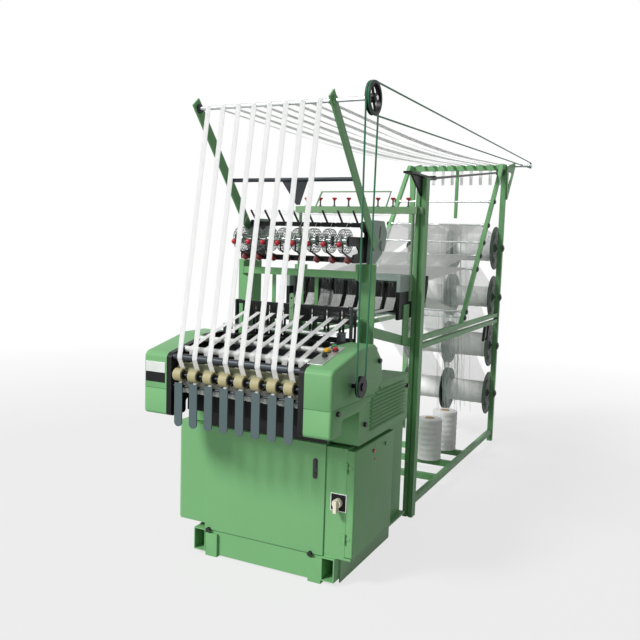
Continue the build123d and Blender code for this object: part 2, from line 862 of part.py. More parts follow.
# Red ball knobs and tension cups on the feeder frame, red knobs on the yarn rail
yarn_rail_back = 1303.0
yarn_rail_z = 1841.0
yarn_rail_half = 395.0
rail_depth = 40.0
rail_knob_pitch = 95.0
rail_knob_z = 1907.0
rail_knob_back = yarn_rail_back + 8
with BuildPart() as red_knobs:
    for x in head_xs:
        with Locations(Location((x + 10, knob_back + 3.5 - base_centre_back, knob_z), (0, 0, 100))):
            Sphere(knob_radius)
        bar((x + 10, x + 26), knob_back + 3.5, knob_z, 3)
        cup_mid = tension_back - 16 - cup_length / 2 - base_centre_back
        with Locations(Location((x, cup_mid, tension_z), (90, 0, 0))):
            Cone(bottom_radius=cup_radius, top_radius=cup_radius / 2, height=cup_length)
    for i in range(head_count):
        x = (i - (head_count - 1) / 2) * rail_knob_pitch
        post(x, rail_knob_back, (yarn_rail_z + rail_depth / 2, rail_knob_z), 5)
        post(x, rail_knob_back, (rail_knob_z - 8, rail_knob_z + 8), 15)
save(red_knobs, "red_knobs")

# Weft feeder wheels: cages of bent flat bars on one shaft
cage_planes = [
    Plane(
        origin=(0, wheel_back - base_centre_back, wheel_z),
        x_dir=(1, 0, 0),
        z_dir=(0, cos(2 * pi * i / wheel_bars), sin(2 * pi * i / wheel_bars)),
    )
    for i in range(wheel_bars)
]
cage_bar = 2.0
hub_reach = 14.0
with BuildPart() as feeder_wheels:
    with BuildSketch(*cage_planes):
        with Locations(*[(x, (wheel_radius + hub_reach) / 2) for x in head_xs]):
            Rectangle(wheel_width - 4, wheel_radius - hub_reach)
        with Locations(*[(x, (wheel_radius + hub_reach) / 2) for x in head_xs]):
            Rectangle(wheel_width - 4 - 2 * 3, wheel_radius - hub_reach - 2 * 3, mode=Mode.SUBTRACT)
    extrude(amount=cage_bar / 2, both=True)
    with Locations(*[Location((x, wheel_back - base_centre_back, wheel_z), (0, 90, 0)) for x in head_xs]):
        Cylinder(hub_reach + 4, wheel_width)
    bar((-feeder_inner - 4, feeder_inner + 4), wheel_back, wheel_z, 6)
save(feeder_wheels, "feeder_wheels")

# Needle bed on the casting, with end posts for the batten, the carrier and the latch needles
carrier_back = 545.0
carrier_z = 1316.0
carrier_height = 12.0
carrier_guide_inner = 314.0
carrier_half = 318.0
latch_z = 1196.0
latch_half = 316.0
latch_backs = (440.0, 456.0)
end_posts = (331.0, 339.0)
with BuildPart() as needle_bed:
    block((-300, 300), (380, 560), (bed_top, bed_top + 30))
    with Locations(*[(x, 475 - base_centre_back, bed_top + 32) for x in head_xs]):
        Box(48, 90, 64)
    with Locations(*[(x, 415 - base_centre_back, bed_top + 24) for x in head_xs]):
        Box(28, 30, 48)
    for side in (1, -1):
        span = (side * 302, side * 322)
        block(span, (batten_back - 16, batten_back + 16), (bed_top, batten_z + 16))
        bar(span, batten_back, batten_z, 8 + running_gap, mode=Mode.SUBTRACT)
        block((side * end_posts[0], side * end_posts[1]), (carrier_back - 14, carrier_back + 14),
              (bed_top, carrier_z + 10))
        guide_span = (side * carrier_guide_inner, side * end_posts[0])
        for z in (carrier_z + carrier_height / 2 + running_gap, carrier_z - carrier_height / 2 - 4):
            block(guide_span, (carrier_back + 2, carrier_back + 14), (z, z + 4 - running_gap))
        block((side * (latch_half + running_gap), side * end_posts[1]),
              (latch_backs[0] - 20, latch_backs[1] + 20), (bed_top, latch_z + 10))
save(needle_bed, "needle_bed")

# Batten: rocking shaft with a windowed reed frame for each head
reed_window = (1248.0, 1292.0)
low_window = (1160.0, 1230.0)
batten_low = batten_z + 18
reed_slot = 4.6
reed_pitch = 6.6
with BuildPart() as batten:
    with BuildSketch(Plane(origin=(0, batten_back + batten_thickness / 2 - base_centre_back, 0),
                           x_dir=(1, 0, 0), z_dir=(0, -1, 0))):
        with Locations(*[(x, (batten_low + batten_top) / 2) for x in head_xs]):
            Rectangle(batten_width, batten_top - batten_low)
        with Locations((0, batten_low + 8)):
            Rectangle(2 * head_xs[-1] + batten_width, 16)
        reed_xs = [x + (k - (reed_slots - 1) / 2) * reed_pitch for x in head_xs for k in range(reed_slots)]
        with Locations(*[(x, sum(reed_window) / 2) for x in reed_xs]):
            Rectangle(reed_slot, reed_window[1] - reed_window[0], mode=Mode.SUBTRACT)
        with Locations(*[(x, sum(low_window) / 2) for x in head_xs]):
            Rectangle(56, low_window[1] - low_window[0], mode=Mode.SUBTRACT)
    extrude(amount=batten_thickness)
    with Locations(*[(x, batten_back - base_centre_back, (batten_z + batten_low) / 2 + 2) for x in gap_xs]):
        Box(16, batten_thickness, batten_low - batten_z + 4)
    bar((-324, 324), batten_back, batten_z, 8)
save(batten, "batten")

# Weft needles: curved arms on one sliding carrier bar, above the cloth line
needle_plate = 3.0
carrier_low = carrier_z - carrier_height / 2
with BuildPart() as weft_needles:
    block((-carrier_half, carrier_half), (carrier_back - 10, carrier_back + 10),
          (carrier_low, carrier_low + carrier_height))
    for x in head_xs:
        root = carrier_back - base_centre_back
        with BuildSketch(Plane.XY.offset(carrier_low - needle_plate)):
            with BuildLine():
                Line((x + 16, root), (x - 4, root))
                ThreePointArc((x - 4, root), (x - 8, root - 20), (x - 24, root - 33))
                Line((x - 24, root - 33), (x - 22, root - 36))
                ThreePointArc((x - 22, root - 36), (x, root - 24), (x + 16, root))
            make_face()
        extrude(amount=needle_plate)
save(weft_needles, "weft_needles")

# Latch needles on their slide bar
with BuildPart() as latch_needles:
    block((-latch_half, latch_half), latch_backs, (latch_z - 6, latch_z + 6))
    for x in head_xs:
        for offset in (-12.0, 12.0):
            block((x + offset - 1.5, x + offset + 1.5), (latch_backs[1], latch_backs[1] + 92),
                  (latch_z - 2, latch_z + 2))
save(latch_needles, "latch_needles")

# Harness: grooved end blocks, ties down to the loom, and the warp guide bars
block_outer = harness_x + 20.0
plate_outer = block_outer + 8.0
tie_front = (745.0, 1184.0)
tie_rear = (1400.0, 1056.0)
tie_height = 55.0
tie_slope = degrees(atan2(tie_rear[1] - tie_front[1], tie_rear[0] - tie_front[0]))
frame_backs = [frame_first + i * frame_pitch for i in range(frame_count)]
comb_z = 1380.0
with BuildPart() as harness_guides:
    for span in both_sides(harness_x, block_outer - harness_x):
        block(span, (harness_front, harness_rear), (harness_bottom, harness_top))
    for span in both_sides(harness_x, slot_depth):
        with Locations(*[((span[0] + span[1]) / 2, back - base_centre_back,
                          (harness_bottom + harness_top) / 2) for back in frame_backs]):
            Box(slot_depth, frame_thickness + 2 * running_gap, harness_top - harness_bottom,
                mode=Mode.SUBTRACT)
    for span in both_sides(block_outer, plate_outer - block_outer):
        block(span, (1200, 1290), (1070, 1300))
    for span in both_sides(arm_inner, arm_thickness):
        with BuildSketch(side_plane(span[0])):
            with Locations(((tie_front[0] + tie_rear[0]) / 2, (tie_front[1] + tie_rear[1]) / 2)):
                Rectangle(hypot(tie_rear[0] - tie_front[0], tie_rear[1] - tie_front[1]), tie_height,
                          rotation=tie_slope)
        extrude(amount=arm_thickness)
    for span in both_sides(bed_half, arm_inner - bed_half):
        block(span, (746, 774), (1168, 1196))
    block((-harness_x, harness_x), (harness_front, harness_front + 14), (cloth_z - 16, cloth_z - 2))
    block((-harness_x, harness_x), (harness_rear - 14, harness_rear), (comb_z - 14, comb_z))
    with Locations(*[(x + (k - 3.5) * 9, harness_rear - 2 - base_centre_back, comb_z + 22)
                     for x in head_xs for k in range(8)]):
        Box(2, 4, 44)
    block((-harness_x, harness_x), (harness_rear - 14, harness_rear), (comb_z + 44, comb_z + 54))
save(harness_guides, "harness_guides")


def build_frames(first, name):
    """Every second heddle frame, from the given index, with its wires."""
    side = harness_x + slot_depth - running_gap
    backs = [back - base_centre_back for back in frame_backs[first::2]]
    frame_mid = (frame_low + frame_high) / 2
    frame_tall = frame_high - frame_low
    rail_span = 2 * side
    with BuildPart() as frames:
        with Locations(*[(0, y, z) for y in backs for z in (frame_low + frame_rail / 2,
                                                           frame_high - frame_rail / 2)]):
            Box(rail_span, frame_thickness, frame_rail)
        with Locations(*[(x, y, frame_mid) for y in backs for x in (side - 5, 5 - side)]):
            Box(10, frame_thickness, frame_tall)
        wires = [x + (k - (wires_per_head - 1) / 2) * 20 for x in head_xs for k in range(wires_per_head)]
        with Locations(*[(x, y, frame_mid) for y in backs for x in wires]):
            Box(1.2, 1.2, frame_tall - 2 * frame_rail + 2)
    save(frames, name)


build_frames(0, "heddle_frames_a")
build_frames(1, "heddle_frames_b")

# Yarn rail with its struts, the bracket to the tall post, and the bow above
strut_back = 1303.0
bow_feet = (-260.0, 208.0)
bow_shoulders = (-221.0, 235.0)
bow_bar = 7.0
bow_height = 90.0
rail_top = yarn_rail_z + rail_depth / 2
with BuildPart() as yarn_rail:
    rail_backs = (yarn_rail_back - rail_depth / 2, yarn_rail_back + rail_depth / 2)
    block((-yarn_rail_half, yarn_rail_half), rail_backs, (rail_top - rail_depth, rail_top))
    block((-yarn_rail_half, yarn_rail_half), (rail_backs[0] + 4, rail_backs[1] - 4),
          (rail_top - rail_depth, rail_top - 4), mode=Mode.SUBTRACT)
    for span in both_sides(block_outer, arm_thickness):
        block(span, (strut_back - 15, strut_back + 15), (harness_bottom + 100, rail_top - 4))
    block((375, yarn_rail_half + 20), (rail_backs[1], near_post_back), (rail_top - rail_depth, rail_top))
    bow_top = rail_top + bow_height
    with BuildSketch(Plane(origin=(0, rail_backs[0] + 1 - base_centre_back, 0), x_dir=(1, 0, 0),
                           z_dir=(0, -1, 0))):
        with BuildLine():
            Polyline(
                (bow_feet[0], rail_top),
                (bow_shoulders[0], bow_top),
                (bow_shoulders[1], bow_top),
                (bow_feet[1], rail_top),
                (bow_feet[1] - bow_bar, rail_top),
                (bow_shoulders[1] - bow_bar, bow_top - bow_bar),
                (bow_shoulders[0] + bow_bar, bow_top - bow_bar),
                (bow_feet[0] + bow_bar, rail_top),
                close=True,
            )
        make_face()
    extrude(amount=-8)
save(yarn_rail, "yarn_rail")

# Creel frame: posts, rails, inclined bars, cross members, rear roller brackets
near_post_rear = near_post_back + post_size
far_half = far_size / 2
incline_top = 2325.0


def incline_back(z):
    """Distance back of the inclined bars' middle line at height z."""
    return incline_foot[0] + (z - incline_foot[1]) / incline_slope


roller_plate = 8.0
roller_plate_x = far_inner + far_size
with BuildPart() as creel_frame:
    block((post_inner, post_inner + post_size), (near_post_back, near_post_rear), (0, near_post_top))
    block((-post_inner - post_size, -post_inner), (near_post_back, near_post_rear), (0, left_post_top))
    for z_top in (near_post_top, left_post_top):
        x = post_inner + post_size / 2 if z_top == near_post_top else -post_inner - post_size / 2
        block((x - 6, x + 6), (near_post_back, near_post_back + 10), (0, z_top), mode=Mode.SUBTRACT)
        block((x - 6, x + 6), (near_post_rear - 10, near_post_rear), (mid_rail_top, z_top),
              mode=Mode.SUBTRACT)
    for span in both_sides(far_inner, far_size):
        block(span, (far_back - far_half + 20, far_back + far_half + 20), (0, far_top))
    for span in both_sides(rail_inner, rail_width):
        rail_backs = (near_post_rear, far_back)
        for z_low, z_high in ((mid_rail_top - 30, mid_rail_top), (mid_rail_top - 80, mid_rail_top - 50),
                              (low_rail_top - rail_height, low_rail_top)):
            block(span, rail_backs, (z_low, z_high))
        with BuildSketch(side_plane(span[0])):
            with BuildLine():
                Polyline(
                    (incline_foot[0] - 16, incline_foot[1]),
                    (incline_back(incline_top) - 16, incline_top),
                    (incline_back(incline_top) + 24, incline_top),
                    (incline_foot[0] + 24, incline_foot[1]),
                    close=True,
                )
            make_face()
        extrude(amount=rail_width)
        block(span, (incline_back(incline_top) - 16, far_back), (far_top, far_top + 40))
    block((-far_inner - far_size, far_inner + far_size), (far_back, far_back + 40), (far_top, far_top + 40))
    for back in cross_backs:
        block((-rail_inner, rail_inner), (back - 20, back + 20), (low_rail_top - rail_height, low_rail_top))
    for span in both_sides(roller_plate_x, roller_plate):
        with BuildSketch(side_plane(span[0])):
            with BuildLine():
                Polyline(
                    (far_back, far_top - 20),
                    (far_back + 40, far_top - 240),
                    (far_back + 60, far_top - 240),
                    (roller_back + 8, rear_roller_z - 30),
                    (roller_back + 30, rear_roller_z),
                    (roller_back + 22, rear_roller_z + 22),
                    (roller_back - 22, rear_roller_z + 22),
                    (far_back, far_top + 30),
                    close=True,
                )
            make_face()
        extrude(amount=roller_plate)
        bar(span, roller_back, rear_roller_z, rear_roller_radius + running_gap, mode=Mode.SUBTRACT)
    with BuildSketch(side_plane(-roller_plate_x - roller_plate)):
        with BuildLine():
            Polyline(
                (far_back + 60, far_top - 150),
                (far_back + 60, far_top - 10),
                (far_back + 190, far_top - 10),
                close=True,
            )
        make_face()
    extrude(amount=2 * (roller_plate_x + roller_plate), mode=Mode.SUBTRACT)
    for span in both_sides(far_inner, far_size):
        for z in beam_zs:
            inner = span[0] if span[0] > 0 else span[1]
            bar((inner, inner + (bearing_width if inner > 0 else -bearing_width)), beam_back, z,
                beam_axle_radius + running_gap, mode=Mode.SUBTRACT)
save(creel_frame, "creel_frame")

# Warp rods between the inclined bars, their clamps, the polished side rods and the near bracket
rod_backs = [incline_back(z) for z in rod_heights]
brace_bottom = rod_heights[1] + 40
bracket_backs = (1100.0, 1550.0)
polished_front = (1535.0, 2042.0)
polished_rear = (3400.0, 2262.0)
polished_radius = 7.0
polished_x = (350.0, 372.0)
with BuildPart() as creel_rods:
    for back, z in zip(rod_backs, rod_heights):
        bar((-rail_inner, rail_inner), back, z, rod_radius)
        for side in (1, -1):
            bar((side * (rail_inner - 14), side * rail_inner), back, z, rod_radius + 7)
    block((post_inner + 6, post_inner + post_size - 6), bracket_backs,
          (near_post_top, near_post_top + 12))
    with BuildSketch(side_plane(post_inner + 24)):
        with BuildLine():
            Polyline(
                (bracket_backs[0] + 60, near_post_top),
                (near_post_back, near_post_top),
                (near_post_back, near_post_top - 110),
                close=True,
            )
        make_face()
    extrude(amount=12)
    rod_plane = Plane(
        origin=(0, polished_front[0] - base_centre_back, polished_front[1]),
        x_dir=(1, 0, 0),
        z_dir=(0, polished_rear[0] - polished_front[0], polished_rear[1] - polished_front[1]),
    )
    with BuildSketch(rod_plane):
        for x in polished_x:
            with Locations((x, 0)):
                Circle(polished_radius)
    extrude(amount=hypot(polished_rear[0] - polished_front[0], polished_rear[1] - polished_front[1]))
    block((340, post_inner + post_size - 6), (1518, 1548), (near_post_top, near_post_top + 24))
    block((340, 400), (3384, 3414), (2240, far_top))
save(creel_rods, "creel_rods")

# Rear guide roller with its pulley
with BuildPart() as rear_roller:
    grooved_disc(second_belt_x, roller_back, rear_roller_z, rear_pulley_radius)
    bar((-roller_plate_x - 22, second_belt_x), roller_back, rear_roller_z, rear_roller_radius)
    with Locations(*[Location((x, roller_back - base_centre_back, rear_roller_z), (0, 90, 0))
                     for x in (-head_pitch * 4, *gap_xs, head_pitch * 4)]):
        Cylinder(rear_roller_radius + 5, 12)
save(rear_roller, "rear_roller")

# Warp beams: axle, barrels wound with yarn, flanges
for i, (z, yarn) in enumerate(zip(beam_zs, yarn_radii)):
    with BuildPart() as beam:
        axle = far_inner + bearing_width - 1
        bar((-axle, axle), beam_back, z, beam_axle_radius)
        for side in (1, -1):
            inner = (side * flange_gap, side * (flange_gap + flange_thickness))
            outer = (side * (flange_outer - flange_thickness), side * flange_outer)
            bar(inner, beam_back, z, flange_radius)
            bar(outer, beam_back, z, flange_radius)
            bar((inner[1], outer[0]), beam_back, z, yarn)
            bar((outer[1], side * (flange_outer + 8)), beam_back, z, 30)
        bar((-flange_gap, flange_gap), beam_back, z, 30)
    save(beam, f"warp_beam_{i + 1}")

# Let-off weights on cords, and yarn packages on the floor members
with BuildPart() as let_off_weights:
    for shift in (0, -110):
        with BuildSketch(side_plane(rail_inner + 4)):
            with BuildLine():
                Polyline((3150 + shift, 985), (3165 + shift, mid_rail_top - 80),
                         (3205 + shift, mid_rail_top - 80), (3195 + shift, 940),
                         (3130 + shift, 900), close=True)
            make_face()
        extrude(amount=20)
save(let_off_weights, "let_off_weights")

package_radius = 95.0
with BuildPart() as yarn_packages:
    for x, back in ((210.0, cross_backs[1]), (230.0, cross_backs[2])):
        post(x, back, (low_rail_top, low_rail_top + 300), package_radius)
        post(x, back, (low_rail_top, low_rail_top + 300), 30, mode=Mode.SUBTRACT)
save(yarn_packages, "yarn_packages")


# Flexible pieces follow circles joined by tangent lines
def tangent_path(stops):
    """Points and arcs of a line wrapped round circles.

    Each stop is (back, z, radius, turn): turn is 1 when the circle lies on
    the left of the direction of travel, -1 on the right, 0 for a bare end.
    """
    lines = []
    for (y0, z0, r0, t0), (y1, z1, r1, t1) in zip(stops, stops[1:]):
        gap = hypot(y1 - y0, z1 - z0)
        heading = atan2(z1 - z0, y1 - y0) - asin((t1 * r1 - t0 * r0) / gap)
        left = (-sin(heading), cos(heading))
        start = (y0 - t0 * r0 * left[0], z0 - t0 * r0 * left[1])
        end = (y1 - t1 * r1 * left[0], z1 - t1 * r1 * left[1])
        lines.append((start, end, left))
    return lines


def path_side(stops, lift):
    """One edge of the strip: the path's tangent lines and arcs, moved to its left by lift."""
    lines = tangent_path(stops)
    pieces = []
    for i, (start, end, left) in enumerate(lines):
        a = (start[0] + lift * left[0], start[1] + lift * left[1])
        b = (end[0] + lift * left[0], end[1] + lift * left[1])
        if i > 0:
            centre = stops[i][:2]
            radius = stops[i][2] - stops[i][3] * lift
            before = (pieces[-1][-1][0] - centre[0], pieces[-1][-1][1] - centre[1])
            after = (a[0] - centre[0], a[1] - centre[1])
            turn = stops[i][3]
            first = atan2(before[1], before[0])
            last = atan2(after[1], after[0])
            while turn > 0 and last < first:
                last += 2 * pi
            while turn < 0 and last > first:
                last -= 2 * pi
            middle = (first + last) / 2
            bend = (centre[0] + radius * cos(middle), centre[1] + radius * sin(middle))
            pieces.append((pieces[-1][-1], bend, a))
        pieces.append((a, b))
    return pieces


def draw(pieces):
    """Lines and arcs from a list of point pairs and point triples."""
    for piece in pieces:
        if len(piece) == 2:
            Line(*piece)
        else:
            ThreePointArc(*piece)


def build_strips(name, strips, loops=()):
    """Node of flat strips: open ones along their stops, closed ones round two stops."""
    with BuildPart() as soft:
        for stops, thickness, spans in strips:
            near = path_side(stops, thickness / 2)
            far = path_side(stops, -thickness / 2)
            for span in spans:
                with BuildSketch(side_plane(span[0])):
                    with BuildLine():
                        draw(near)
                        draw(far)
                        Line(near[0][0], far[0][0])
                        Line(near[-1][-1], far[-1][-1])
                    make_face()
                extrude(amount=span[1] - span[0])
        for first, second, thickness, span in loops:
            with BuildSketch(side_plane(span[0])):
                for lift, mode in ((-thickness / 2, Mode.ADD), (thickness / 2, Mode.SUBTRACT)):
                    with BuildLine():
                        draw(path_side([first, second, first, second], lift)[1:])
                    make_face(mode=mode)
            extrude(amount=span[1] - span[0])
    save(soft, name)


def around(centre, radius, turn, thickness):
    """Stop for a strip that lies just off a round bar."""
    return (*centre, radius + soft_gap + thickness / 2, turn)


# Tapes: reed, guides, drum, press roller, over the top to the rear roller
tape_start = (572.0, 1262.0)
tape_hang = 160.0
sag_radius = 25400.0
sag_below_axes = 35.0
overhead_run = (roller_back - top_back, rear_roller_z - top_z)
overhead_length = hypot(*overhead_run)
overhead_mid = ((top_back + roller_back) / 2, (top_z + rear_roller_z) / 2)
sag_lift = sag_radius - sag_below_axes
sag_stop = (
    overhead_mid[0] - overhead_run[1] / overhead_length * sag_lift,
    overhead_mid[1] + overhead_run[0] / overhead_length * sag_lift,
    sag_radius,
    1,
)
tape_stops = [
    (*tape_start, 0, 0),
    around(upper_guide, upper_guide_radius, 1, tape_thickness),
    around(lower_guide, lower_guide_radius, 1, tape_thickness),
    around((drum_back, drum_z), drum_radius, -1, tape_thickness),
    around((0.0, roller_z), press_radius, 1, tape_thickness),
    around(bend_bar, bend_bar_radius, -1, tape_thickness),
    around((top_back, top_z), shaft_radius, -1, tape_thickness),
    sag_stop,
    around((roller_back, rear_roller_z), rear_roller_radius, -1, tape_thickness),
    (roller_back + rear_roller_radius + soft_gap + 1, rear_roller_z - tape_hang, 0, 0),
]
tape_spans = [(x - tape_width / 2, x + tape_width / 2) for x in head_xs]
build_strips("tapes", [(tape_stops, tape_thickness, tape_spans)])

# Belts in their grooves
belt_thickness = 5.0
belt_x_spans = [(x - belt_width / 2, x + belt_width / 2) for x in (belt_x, second_belt_x)]
big_belt_stop = around((top_back, top_z), big_pulley_radius - groove_depth, 1, belt_thickness)
build_strips("belts", [], [
    (around((drive_back, drive_z), low_pulley_radius - groove_depth, 1, belt_thickness),
     big_belt_stop, belt_thickness, belt_x_spans[0]),
    (big_belt_stop,
     around((roller_back, rear_roller_z), rear_pulley_radius - groove_depth, 1, belt_thickness),
     belt_thickness, belt_x_spans[1]),
])

# Warp sheets from the beams over the rods to the comb, and ribbons from harness to reed
sheet_half = 344.0
sheet_inner = 26.0
sheet_spans = [(sheet_inner, sheet_half), (-sheet_half, -sheet_inner)]
sheet_rods = (1, 3, 4, 5)
comb_levels = (39.0, 27.0, 15.0, 3.0)
ribbon_half = 30.0
ribbon_backs = (harness_front + 12, 646.0)
sheet_strips = []
for z, yarn, rod, level in zip(beam_zs, yarn_radii, sheet_rods, comb_levels):
    stops = [
        around((beam_back, z), yarn, 1, warp_thickness),
        around((rod_backs[rod], rod_heights[rod]), rod_radius, 1, warp_thickness),
        (harness_rear + 3, comb_z + level, 0, 0),
    ]
    sheet_strips.append((stops, warp_thickness, sheet_spans))
ribbon_z = cloth_z - 2 + soft_gap + warp_thickness / 2
ribbon_stops = [(ribbon_backs[0], ribbon_z, 0, 0), (ribbon_backs[1], ribbon_z, 0, 0)]
ribbon_spans = [(x - ribbon_half, x + ribbon_half) for x in head_xs[1:-1]]
ribbon_edge = support_half - 1
ribbon_spans += [(head_xs[-1] - ribbon_half, ribbon_edge), (-ribbon_edge, head_xs[0] + ribbon_half)]
sheet_strips.append((ribbon_stops, warp_thickness, ribbon_spans))
build_strips("warp_sheets", sheet_strips)
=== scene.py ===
"""Looks of an eight-head narrow fabric loom and its warp creel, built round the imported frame.

Lengths are in metres. Distances called "back" are measured from the press roller line, and
a pair such as TOP_SHAFT is a distance back and a height.
"""
from __future__ import annotations

import json
import logging
import math
from dataclasses import dataclass
from enum import Enum
from functools import cache
from typing import Callable, Iterable, Sequence

import bmesh
import bpy
import numpy as np
from mathutils import Matrix, Vector

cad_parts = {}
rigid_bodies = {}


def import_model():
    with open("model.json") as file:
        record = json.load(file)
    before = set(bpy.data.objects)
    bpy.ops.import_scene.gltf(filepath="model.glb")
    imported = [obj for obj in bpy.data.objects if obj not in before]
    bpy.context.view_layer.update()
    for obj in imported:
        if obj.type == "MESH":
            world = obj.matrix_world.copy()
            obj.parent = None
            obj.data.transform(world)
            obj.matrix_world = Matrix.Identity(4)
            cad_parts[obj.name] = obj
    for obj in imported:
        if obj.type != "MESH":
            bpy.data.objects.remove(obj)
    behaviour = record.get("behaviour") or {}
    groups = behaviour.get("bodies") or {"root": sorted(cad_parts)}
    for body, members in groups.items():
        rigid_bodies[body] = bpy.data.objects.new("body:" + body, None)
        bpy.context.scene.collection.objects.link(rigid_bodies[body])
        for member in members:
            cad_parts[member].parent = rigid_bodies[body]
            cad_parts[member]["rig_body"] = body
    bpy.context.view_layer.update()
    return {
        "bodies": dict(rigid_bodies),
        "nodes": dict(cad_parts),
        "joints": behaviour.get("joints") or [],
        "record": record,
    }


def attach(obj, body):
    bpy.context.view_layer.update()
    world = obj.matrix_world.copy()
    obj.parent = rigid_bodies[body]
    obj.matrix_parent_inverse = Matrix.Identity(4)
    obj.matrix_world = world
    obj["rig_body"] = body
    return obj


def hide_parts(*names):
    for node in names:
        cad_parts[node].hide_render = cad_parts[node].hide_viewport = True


log = logging.getLogger("loom")

Point = Sequence[float]
Profile = Sequence[tuple[float, float]]

ROOT = "loom_frame"
BASE_BACK = 0.640
HEADS = (np.arange(8) - 3.5) * 0.085
CORE = 0.0005

PRESS_LINE = (0.0, 1.0)
LOWER_LINE = (0.048, 0.935)
DRUM = (0.0656, 1.012)
DRIVE_SHAFT = (0.200, 1.004)
TOP_SHAFT = (0.209, 2.263)
REAR_ROLLER = (3.700, 2.347)
FEEDER_SHAFT = (0.520, 1.648)
FEEDER_CUPS = (0.564, 1.557)
BEAM_BACK = 3.440
BEAM_HEIGHTS = (1.64, 1.23, 0.82, 0.41)
WINDINGS = (0.110, 0.088, 0.103, 0.096)
INCLINE_FOOT = (2.345, 1.1)
INCLINE_SLOPE = 1.228
ROD_RADIUS = 0.007
FOOT_ROD_Z = 1.138
SPARE_ROD_Z = 1.813
CREEL_RODS = (2.003, SPARE_ROD_Z, 1.679, 1.578, 1.480, 1.178, FOOT_ROD_Z)
CLOTH_Z = 1.2708
FLOOR_MEMBER_TOP = 0.100


class Colour(Enum):
    """Finish colours as they are seen, in display values."""

    LOOM_GREEN = "#75AB75"
    CAST_GREEN = "#86AB82"
    INK_BLACK = "#0C0D0F"
    SLATE = "#566567"
    STEEL = "#C3C7C7"
    DARK_STEEL = "#3A3E41"
    CHROME = "#858D8A"
    GREY_SHEET = "#93A39B"
    GUIDE_GREY = "#D5DAD6"
    PLATE = "#D2D6D2"
    KHAKI = "#A69E76"
    DRUM_KHAKI = "#8E9270"
    YARN_GREY = "#C9D3CF"
    WHITE = "#FBFCFA"
    CREAM = "#E9E2CC"
    RED = "#C21F2E"
    DARK_RED = "#8C1C22"
    YELLOW = "#E9B31A"
    BUTTON_GREEN = "#2E8B4E"
    LAMP_GREEN = "#1F8A55"
    BELT_GREEN = "#1C6444"
    FLANGE = "#56635A"
    CARD = "#B99B74"
    FLOOR = "#AEB0AE"


def linear(colour: Colour) -> tuple[float, float, float, float]:
    """Scene-linear value of a display colour.

    Args:
        colour: the named display colour.
    Returns:
        Red, green, blue and alpha for a shader socket.
    """
    code = colour.value.lstrip("#")
    shown = np.array([int(code[i:i + 2], 16) for i in (0, 2, 4)]) / 255
    value = np.where(shown <= 0.04045, shown / 12.92, ((shown + 0.055) / 1.055) ** 2.4)
    return float(value[0]), float(value[1]), float(value[2]), 1.0


class Graph:
    """Short way to lay out shader nodes."""

    def __init__(self, tree: bpy.types.NodeTree) -> None:
        """Work on a tree of nodes."""
        self.tree = tree

    def add(self, kind: str, **values: object) -> bpy.types.Node:
        """Add a node.

        Args:
            kind: the node's type without its ShaderNode prefix.
            values: the node's attributes.
        Returns:
            The new node.
        """
        node = self.tree.nodes.new(f"ShaderNode{kind}")
        for key, value in values.items():
            setattr(node, key, value)
        return node

    def join(self, source: bpy.types.Node, output: object, target: bpy.types.Node,
             socket: object) -> None:
        """Link an output of one node to an input of another."""
        self.tree.links.new(source.outputs[output], target.inputs[socket])

    def shown(self) -> bpy.types.Node:
        """Signal of 1 for rays that show the background: camera, glossy and transmission rays.

        Returns:
            The node whose first output is the signal.
        """
        path = self.add("LightPath")
        signal, output = path, "Is Camera Ray"
        for ray in ("Is Glossy Ray", "Is Transmission Ray"):
            either = self.add("Math", operation="MAXIMUM")
            self.join(signal, output, either, 0)
            self.join(path, ray, either, 1)
            signal, output = either, 0
        return signal


